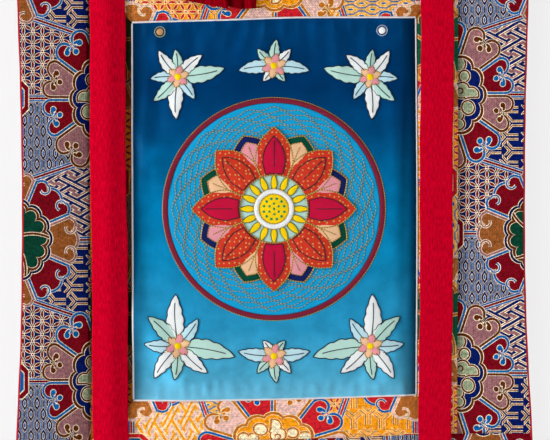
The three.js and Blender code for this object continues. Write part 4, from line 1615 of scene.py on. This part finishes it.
petal_ring({
    "name": "green_petals_silk", "node": "green_petals", "slot": "green_satin", "under": "sky_disc_silk",
    "layer": 1, "count": 8, "turn": pi / 8, "root": 40, "notch": 60, "tip": 79, "border": 7,
    "heart": 0.66, "vein": 50, "silks": ["pine_silk", "navy_silk"],
    "heart_silks": ["peach_silk", "pink_silk"], "cord": gold_thread, "heart_cord": gold_thread,
})

# %% Mint disc and red petals
mint_outline = round_outline(centre, 38.5, 128, lobes=16, lobe=1.8)
small_petals = [leaf_outline(centre, number * pi / 8, 19.0, 35.5, 3.3)[0] for number in range(16)]
mint_parts = [(patch(mint_outline, centre, 1, rise=0.3), 0)]
mint_parts += [(patch(outline, outline.mean(0), 1.7, rise=0.5, thick=0.4), 1) for outline in small_petals]
applique("mint_disc_silk", "mint_disc", "mint_satin", mint_parts, ["mint_silk", "yellow_silk"],
         [mint_outline] + small_petals)
laid_cords("mint_disc_silk", "mint_satin", pine_cord, [(outline, 1.85) for outline in small_petals],
           radius=0.35, sides=5)

petal_ring({
    "name": "red_petals_silk", "node": "red_petals", "slot": "red_satin", "under": "green_petals_silk",
    "layer": 2, "count": 8, "turn": 0.0, "root": 34, "notch": 50, "tip": 82, "border": 9,
    "heart": 0.62, "vein": 42, "silks": ["vermilion_silk"],
    "heart_silks": ["crimson_silk", "vermilion_silk"], "cord": gold_thread, "heart_cord": dark_cord,
})

# %% [markdown]
# The seed head is the smallest and highest dome, with rings of green seeds set on it. Each seed lies
# a little lower than the one before it, because the dome falls away from its middle.

# %% Seed head
seed_radius, seed_size = 15.0, 1.5
seed_layer, seed_drop = 2.9, 0.03
folded_ring("white_ring_silk", "white_ring", "white_satin", silk["white_silk"], (seed_radius, 2.5, 0),
            2, 0.6, 0.42)

seed_outline = round_outline(centre, seed_radius, 64)
seed_places = np.concatenate([[centre], polar(centre, 5.2, np.arange(6) * pi / 3),
                              polar(centre, 10.4, (np.arange(12) + 0.5) * pi / 6)])
seed_parts = [(patch(seed_outline, centre, 2, rise=1.2, thick=0.7), 0)]
for place in seed_places:
    layer = seed_layer - seed_drop * np.hypot(*(place - centre))
    seed_parts.append((patch(round_outline(place, seed_size, 12), place, layer, rise=0.9, thick=0.5), 1))
applique("yellow_centre_silk", "yellow_centre", "yellow_satin", seed_parts, ["yellow_silk", "green_silk"],
         [seed_outline])
laid_cords("seed_head", "yellow_satin", gold_thread,
           [(seed_outline, 2.35), (polar(centre, 20.2, circle), 2.1)], radius=0.45)

# %% [markdown]
# Four sprays fill the corners and two sprigs stand above and below the medallion. Each has lobed
# leaves in mint, white and pale blue satin, edged with dark cord as such pale shapes are, round a
# small pink and peach flower. Their headings and lengths are those of the CAD model's leaves.

# %% Leaf sprays
leaf_tables = {
    "spray": [(0, 34), (42, 40), (88, 34), (140, 42), (172, 52), (222, 34), (275, 58), (318, 40)],
    "sprig": [(0, 27), (50, 24), (92, 36), (150, 19), (210, 19), (268, 36), (310, 24)],
}
spray_rows = [
    {"node": "spray_upper_left", "at": (-97, 197), "side": -1, "flip": 1, "scale": 0.82},
    {"node": "spray_upper_right", "at": (95, 197), "side": 1, "flip": 1, "scale": 0.82},
    {"node": "spray_lower_left", "at": (-97, 466), "side": -1, "flip": -1, "scale": 1.0},
    {"node": "spray_lower_right", "at": (95, 466), "side": 1, "flip": -1, "scale": 1.0},
    {"node": "sprig_upper", "at": (-1, 186), "side": 1, "flip": 1, "scale": 1.0},
    {"node": "sprig_lower", "at": (-1, 476), "side": 1, "flip": -1, "scale": 1.0},
]
spray_silks = ["mint_silk", "white_silk", "ice_silk", "pink_silk", "peach_silk", "yellow_silk"]
leaf_stagger = 0.12
leaf_vein_lift = 0.65
flower_layer, flower_petals = 0.75, 6
for row in spray_rows:
    middle, scale = np.array(row["at"], float), row["scale"]
    parts, leaves_round, veins, flower = [], [], [], []
    for number, (heading, length) in enumerate(leaf_tables[row["node"][:5]]):
        reach = length * scale
        outline, vein = leaf_outline(middle, radians(heading), 3.0, reach, 2.2 + 0.155 * reach,
                                     5, row["side"], row["flip"], bend=0.1 * (-1) ** number)
        layer = leaf_stagger * (number % 2)
        parts.append((patch(outline, outline.mean(0), layer), number % 3))
        leaves_round.append((outline, layer + cord_lift))
        veins.append((vein, layer + leaf_vein_lift))
    for number in range(flower_petals):
        turned, grown = number * 2 * pi / flower_petals + 0.2, scale**0.5
        petal, _ = leaf_outline(middle, turned, 2.0, 12.5 * grown, 5.0 * grown)
        parts.append((patch(petal, petal.mean(0), flower_layer, rise=0.6, thick=0.4), 3 + number % 2))
        flower.append((petal, 0.9))
    parts.append((patch(round_outline(middle, 3.4, 20), middle, 1.3, rise=1.0, thick=0.5), 5))
    name = row["node"] + "_silk"
    applique(name, row["node"], "mint_satin", parts, spray_silks,
             [outline for outline, _ in leaves_round + flower])
    laid_cords(name, "mint_satin", dark_cord, leaves_round, veins, radius=0.5, sides=5)
    laid_cords(name + "_flower", "mint_satin", gold_thread, flower, radius=0.36, sides=4)

# %% [markdown]
# In the picture's two upper corners stand a golden and a white disc, no bigger than a pea: satin
# stitch over a little padding, each inside a ring of couched thread, pale gold on the left and
# silver on the right. The cut cloth is wider than the disc, as its edge is drawn in under the
# padding.

# %% Small padded discs
silk["gold_silk"] = plain_finish("gold_silk", (218, 164, 108), 0.4, thread=0.3, shade=0.2, patch=1.6,
                                 patch_depth=0.35, shine=0.3)
silver_thread = dashed_finish("silver_thread", (190, 196, 214), (110, 130, 160), 1.8, Metallic=0.35)
pale_gold_thread = dashed_finish("pale_gold_thread", (176, 184, 132), (96, 118, 84), 1.8, Metallic=0.35)
disc_rows = [
    {"node": "small_disc_left", "silk": "gold_silk", "slot": "gold_satin", "ring": pale_gold_thread},
    {"node": "small_disc_right", "silk": "white_silk", "slot": "white_satin", "ring": silver_thread},
]
small_disc_radius, small_ring_radius = 3.45, 5.2
for row in disc_rows:
    middle = np.array(node_centre(row["node"]))
    outline = round_outline(middle, small_disc_radius, 28)
    name = row["node"] + "_silk"
    mesh = joined(name, [(patch(outline, middle, 0, rise=1.1, thick=0.8), 0)])
    piece = add_piece(name, mesh, row["node"], row["slot"], silk[row["silk"]])
    ring = round_outline(middle, small_ring_radius, 48)
    laid_cords(row["node"], row["slot"], row["ring"], [(ring, 0.05)], radius=0.48)

# %% [markdown]
# The two ribbons are strips of crinkled crimson silk, sewn at the top edge only. Each hangs clear of
# the cloth behind, with a soft upright crest and slow waves. Crinkled silk has fine broken upright
# ridges, too fine for the mesh, so they go into the bump, and their shade is painted into the colour.

# %% Crinkled silk
def crinkled_finish(name, colour, dark, ridge=1.1, length=14.0):
    """Silk with fine upright crinkles: noise stretched along the cloth, for its bump and its painted shade.
    """
    material, shader, place = new_finish(name, 0.75, shine=0.1, Specular_Tint=dye(200, 0, 30))
    stretch = add_node("ShaderNodeMapping", Vector=place, Scale=(1 / ridge, 1 / length, 1))
    noise = add_node("ShaderNodeTexNoise", Vector=stretch.outputs[0], Scale=1.0, Detail=5, Roughness=0.7)
    crinkles = noise.outputs["Fac"]
    # Painted shade: where the crinkles are low, the colour mixes towards the dark one.
    share = least(most((Number(crinkles) - 0.3) * 2.6, 0.0), 1.0)
    threads = woven(weave_group, place, Thread=0.45, Slant=0.0)
    feed(shader["Base Color"], shaded(mixed_dyes(share, dark, colour), between(threads["Shade"], 0.9, 1.0)))
    raise_threads(shader, crinkles, 0.5)
    return material


ribbon_crimson = crinkled_finish("ribbon_crimson", (230, 1, 45), (152, 0, 22), length=7.0)
veil_crimson = crinkled_finish("veil_crimson", (158, 1, 20), (98, 0, 10), ridge=2.2, length=30.0)
print("crinkled silks:", ribbon_crimson.name, veil_crimson.name)

# %% Ribbons
ribbon_thickness = 0.8
ribbon_rows = [
    {"node": "ribbon_left", "head": (-186, -151), "foot": (-179.5, -144.5),
     "crest": 0.42, "rise": 2.4, "turned": 3.2},
    {"node": "ribbon_right", "head": (145.6, 178.6), "foot": (142.4, 175),
     "crest": 0.35, "rise": 1.0, "turned": 0.4},
]
ribbon_clear = 7
brocade_front = 0.8
half_cad_ribbon = 0.5
head_touch = 0.3
caught_from, caught_to = 4, 40


def ribbon_forward(row, x, depth, left, right):
    """How far the ribbon stands forward: caught against the cloth at its head, then hanging clear of
    it with one crest, a bell curve across, and slow waves. The CAD model has the same curve."""
    u = (x - left) / (right - left)
    caught = 1 - smooth(caught_from, caught_to, depth)
    wave = 1.5 + 1.5 * np.sin(depth / 52 + row["crest"] * 5)
    crest = row["rise"] * np.exp(-(((u - row["crest"]) / 0.3) ** 2))
    behind = np.max([fall(left, depth), fall((left + right) / 2, depth), fall(right, depth)], axis=0)
    turned = row["turned"] * smooth(0.5, 1.15, u) * 2
    hanging = behind + ribbon_clear + wave + crest - turned
    return mix(hanging, behind + head_touch, caught) + brocade_front + half_cad_ribbon


for row in ribbon_rows:
    width, name = row["head"][1] - row["head"][0], row["node"] + "_silk"
    u, v = np.meshgrid(np.linspace(0, 1, 21), np.linspace(0, 1, 260))
    depth = mix(0.6, ribbon_foot - 0.2, v)
    left, right = mix(row["head"][0], row["foot"][0], v), mix(row["head"][1], row["foot"][1], v)
    waver = 0.5 * np.sin(depth / 37 + row["crest"] * 9) + 0.25 * np.sin(depth / 11)
    x = mix(left, right, u)
    pucker = 0.22 * np.sin(depth / 3.1 + 3 * np.sin(depth / 17) + 6 * u) * np.sin(u * 9 + depth / 29)
    forward = ribbon_forward(row, x, depth, left, right) + pucker + 0.15 * np.cos(2 * pi * u)
    x = x + waver * (1 - smooth(0, 60, 60 - depth)) * np.abs(2 * u - 1)
    mesh = laid_sheet(name, x, depth, forward, ribbon_thickness, np.stack([u * width, -depth], -1))
    piece = add_piece(name, mesh, row["node"], "crimson_ribbon", ribbon_crimson, ribbon_crimson)
    width * MM

# %% [markdown]
# The veil covers the picture when it is let down. Here it is drawn up and sewn in gathers at the top
# edge. Its section is a smooth curve through a table of folds: each row says where the fold lies at
# the head and at the foot, how far it stands forward, and how deep its hem hangs. Towards the right
# one fold doubles back behind the one before it.

# %% Veil
veil_folds = [
    {"head": -142, "foot": -136, "out": 4, "hem": 85},
    {"head": -136, "foot": -129, "out": 7, "hem": 102},
    {"head": -128, "foot": -119, "out": 5, "hem": 111},
    {"head": -119, "foot": -107, "out": 9, "hem": 117.3},
    {"head": -110, "foot": -95, "out": 7, "hem": 120.4},
    {"head": -101, "foot": -83, "out": 11, "hem": 122.9},
    {"head": -92, "foot": -71, "out": 9, "hem": 125.2},
    {"head": -84, "foot": -59, "out": 13, "hem": 127.7},
    {"head": -76, "foot": -46.5, "out": 15, "hem": 130.2},
    {"head": -82, "foot": -52, "out": 9, "hem": 129.1},
    {"head": -70, "foot": -45, "out": 4, "hem": 127.3},
    {"head": -56, "foot": -38, "out": 9, "hem": 129.3},
    {"head": -42, "foot": -31, "out": 4, "hem": 129.5},
    {"head": -26, "foot": -25, "out": 10, "hem": 129.6},
    {"head": -12, "foot": -19, "out": 5, "hem": 129.1},
]
veil_thickness = 0.8
veil_rest = brocade_front + 1.1
hem_roll = 0.5
numbered = [{**row, "number": number} for number, row in enumerate(veil_folds)]
curve = {key: through(numbered, "number", key) for key in ("head", "foot", "out", "hem")}
place_along = np.linspace(0, len(veil_folds) - 1, 225)
shares = np.concatenate([[0.004, 0.012], np.linspace(0.025, 0.985, 74), [0.993, 1.0]])
i, v = np.meshgrid(place_along, shares)
fullness = mix(0.45, 1, smooth(0, 0.25, v))
x = mix(curve["head"](i), curve["foot"](i), v)
depth = v * curve["hem"](i)
small_folds = 0.7 * np.sin(9.5 * i + 2 * v) * (1 - 0.6 * v) + 0.35 * np.sin(17 * i - 5 * v)
out = fullness * (curve["out"](i) + small_folds * smooth(0, 0.1, v))
section = on_cloth(x, depth, fall(x, depth) + veil_rest + out)

# %% Thickness and seams of the veil
along_section = np.gradient(section[..., :2], axis=1)
along_section /= np.linalg.norm(along_section, axis=-1, keepdims=True)
across_section = np.stack([along_section[..., 1], -along_section[..., 0], 0 * x], -1)
thickening = 1 + hem_roll * smooth(0.97, 0.99, v)[..., None]
half = veil_thickness / 2 * thickening * across_section
steps = np.linalg.norm(np.diff(section[-1], axis=0), axis=1)
section_travel = np.concatenate([[0], np.cumsum(steps)])
uv = np.stack([np.broadcast_to(section_travel, x.shape), -depth], -1)
veil = add_piece("veil_silk", closed_sheet("veil_silk", section + half, section - half, uv), "veil",
                 "veil_silk", veil_crimson, veil_crimson)

# %% [markdown]
# The hanging is shown against a plain white wall, over a pale floor. Neither belongs to it. The wall
# is seen from the front only and lets lamp light through, so the back of the cloth is lit and can be
# looked at too. Its white is the material's own colour to the camera, and doesn't depend on the lamps.

# %% Wall and floor
def mixed_shader(share, first, second):
    """The first shader where the share is 0, the second where it is 1."""
    node = add_node("ShaderNodeMixShader", Fac=share)
    feed(node.inputs[1], first)
    feed(node.inputs[2], second)
    return node.outputs[0]


def stage_finish(name, shown, strength, see_through=False):
    """A pale ground: its shown colour to the camera and to metal, and its own shading to other
    light. A share of that shading stays in what the camera sees, so that shadows fall on it."""
    material = bpy.data.materials.new(name)
    material.use_nodes = True
    Number.tree = material.node_tree
    Number.tree.nodes.clear()
    rays = add_node("ShaderNodeLightPath").outputs
    looked_at = most(*[Number(rays[f"Is {kind} Ray"]) for kind in ("Camera", "Glossy", "Transmission")])
    matte = add_node("ShaderNodeBsdfDiffuse", Color=dye(*shown))
    glow = add_node("ShaderNodeEmission", Color=dye(*shown))
    surface = mixed_shader(looked_at * strength, matte.outputs[0], glow.outputs[0])
    if see_through:
        facing = add_node("ShaderNodeNewGeometry").outputs["Backfacing"]
        clear = add_node("ShaderNodeBsdfTransparent").outputs[0]
        surface = mixed_shader(most(Number(facing), Number(rays["Is Shadow Ray"])), surface, clear)
    add_node("ShaderNodeOutputMaterial", Surface=surface)
    return material


def stage_plane(name, corners, material):
    """A rectangle from four corners in metres, for the stage."""
    mesh = bpy.data.meshes.new(name)
    mesh.from_pydata(corners, [], [(0, 1, 2, 3)])
    mesh.materials.append(material)
    plane = bpy.data.objects.new(name, mesh)
    bpy.context.scene.collection.objects.link(plane)


wall_y, floor_z, reach = 0.02, -0.775, 2.5
wall_white = stage_finish("wall_white", (247, 246, 246), 0.85, see_through=True)
floor_white = stage_finish("floor_white", (240, 239, 238), 0.6)
stage_plane("wall", [(-reach, wall_y, floor_z), (reach, wall_y, floor_z),
                     (reach, wall_y, reach / 2), (-reach, wall_y, reach / 2)], wall_white)
stage_plane("floor", [(-reach, -reach, floor_z), (reach, -reach, floor_z),
                      (reach, reach, floor_z), (-reach, reach, floor_z)], floor_white)
print("wall", wall_y, "m behind the hanging, floor at", floor_z, "m")

# %% [markdown]
# The strongest soft lamp stands at the left, so that the folds and the ribbons are shaded across, and
# a weaker one at the right keeps their other sides open. A small one, low at the front, lays the
# satin's sheen. The last is behind, for the back of the cloth, which the others can't reach. The
# world gives a weak even light, and looks pale where it is seen past the wall.

# %% Lamps and world
def soft_lamp(name, place, target, width, height, watts):
    """A rectangular lamp that faces its target."""
    lamp = bpy.data.lights.new(name, "AREA")
    lamp.shape = "RECTANGLE"
    lamp.size, lamp.size_y = width, height
    lamp.energy = watts
    holder = bpy.data.objects.new(name, lamp)
    holder.location = place
    away = np.array(place) - np.array(target)
    azimuth = float(np.arctan2(away[0], -away[1]))
    rise = float(np.arctan2(away[2], np.hypot(away[0], away[1])))
    holder.rotation_euler = (radians(90) - rise, 0, azimuth)
    bpy.context.scene.collection.objects.link(holder)
    print(name, watts, "W")


hanging_middle = (0, 0, -view_depth)
soft_lamp("left_lamp", (-2.2, -1.35, 0.1), hanging_middle, 0.6, 1.2, 50)
soft_lamp("right_lamp", (2.2, -1.35, 0.1), hanging_middle, 0.6, 1.2, 15)
soft_lamp("front_lamp", (-1.15, -2.3, -0.1), hanging_middle, 0.5, 0.7, 9)
soft_lamp("back_lamp", (0.9, 2.2, 0.8), hanging_middle, 1.4, 1.0, 40)

world_light, world_shown = 0.24, 0.72
world = bpy.data.worlds.new("studio")
bpy.context.scene.world = world
world.use_nodes = True
Number.tree = world.node_tree
background = world.node_tree.nodes["Background"].inputs
background["Color"].default_value = dye(238, 240, 244)
looked_at = Number(add_node("ShaderNodeLightPath").outputs["Is Camera Ray"])
feed(background["Strength"], looked_at * world_shown + world_light)
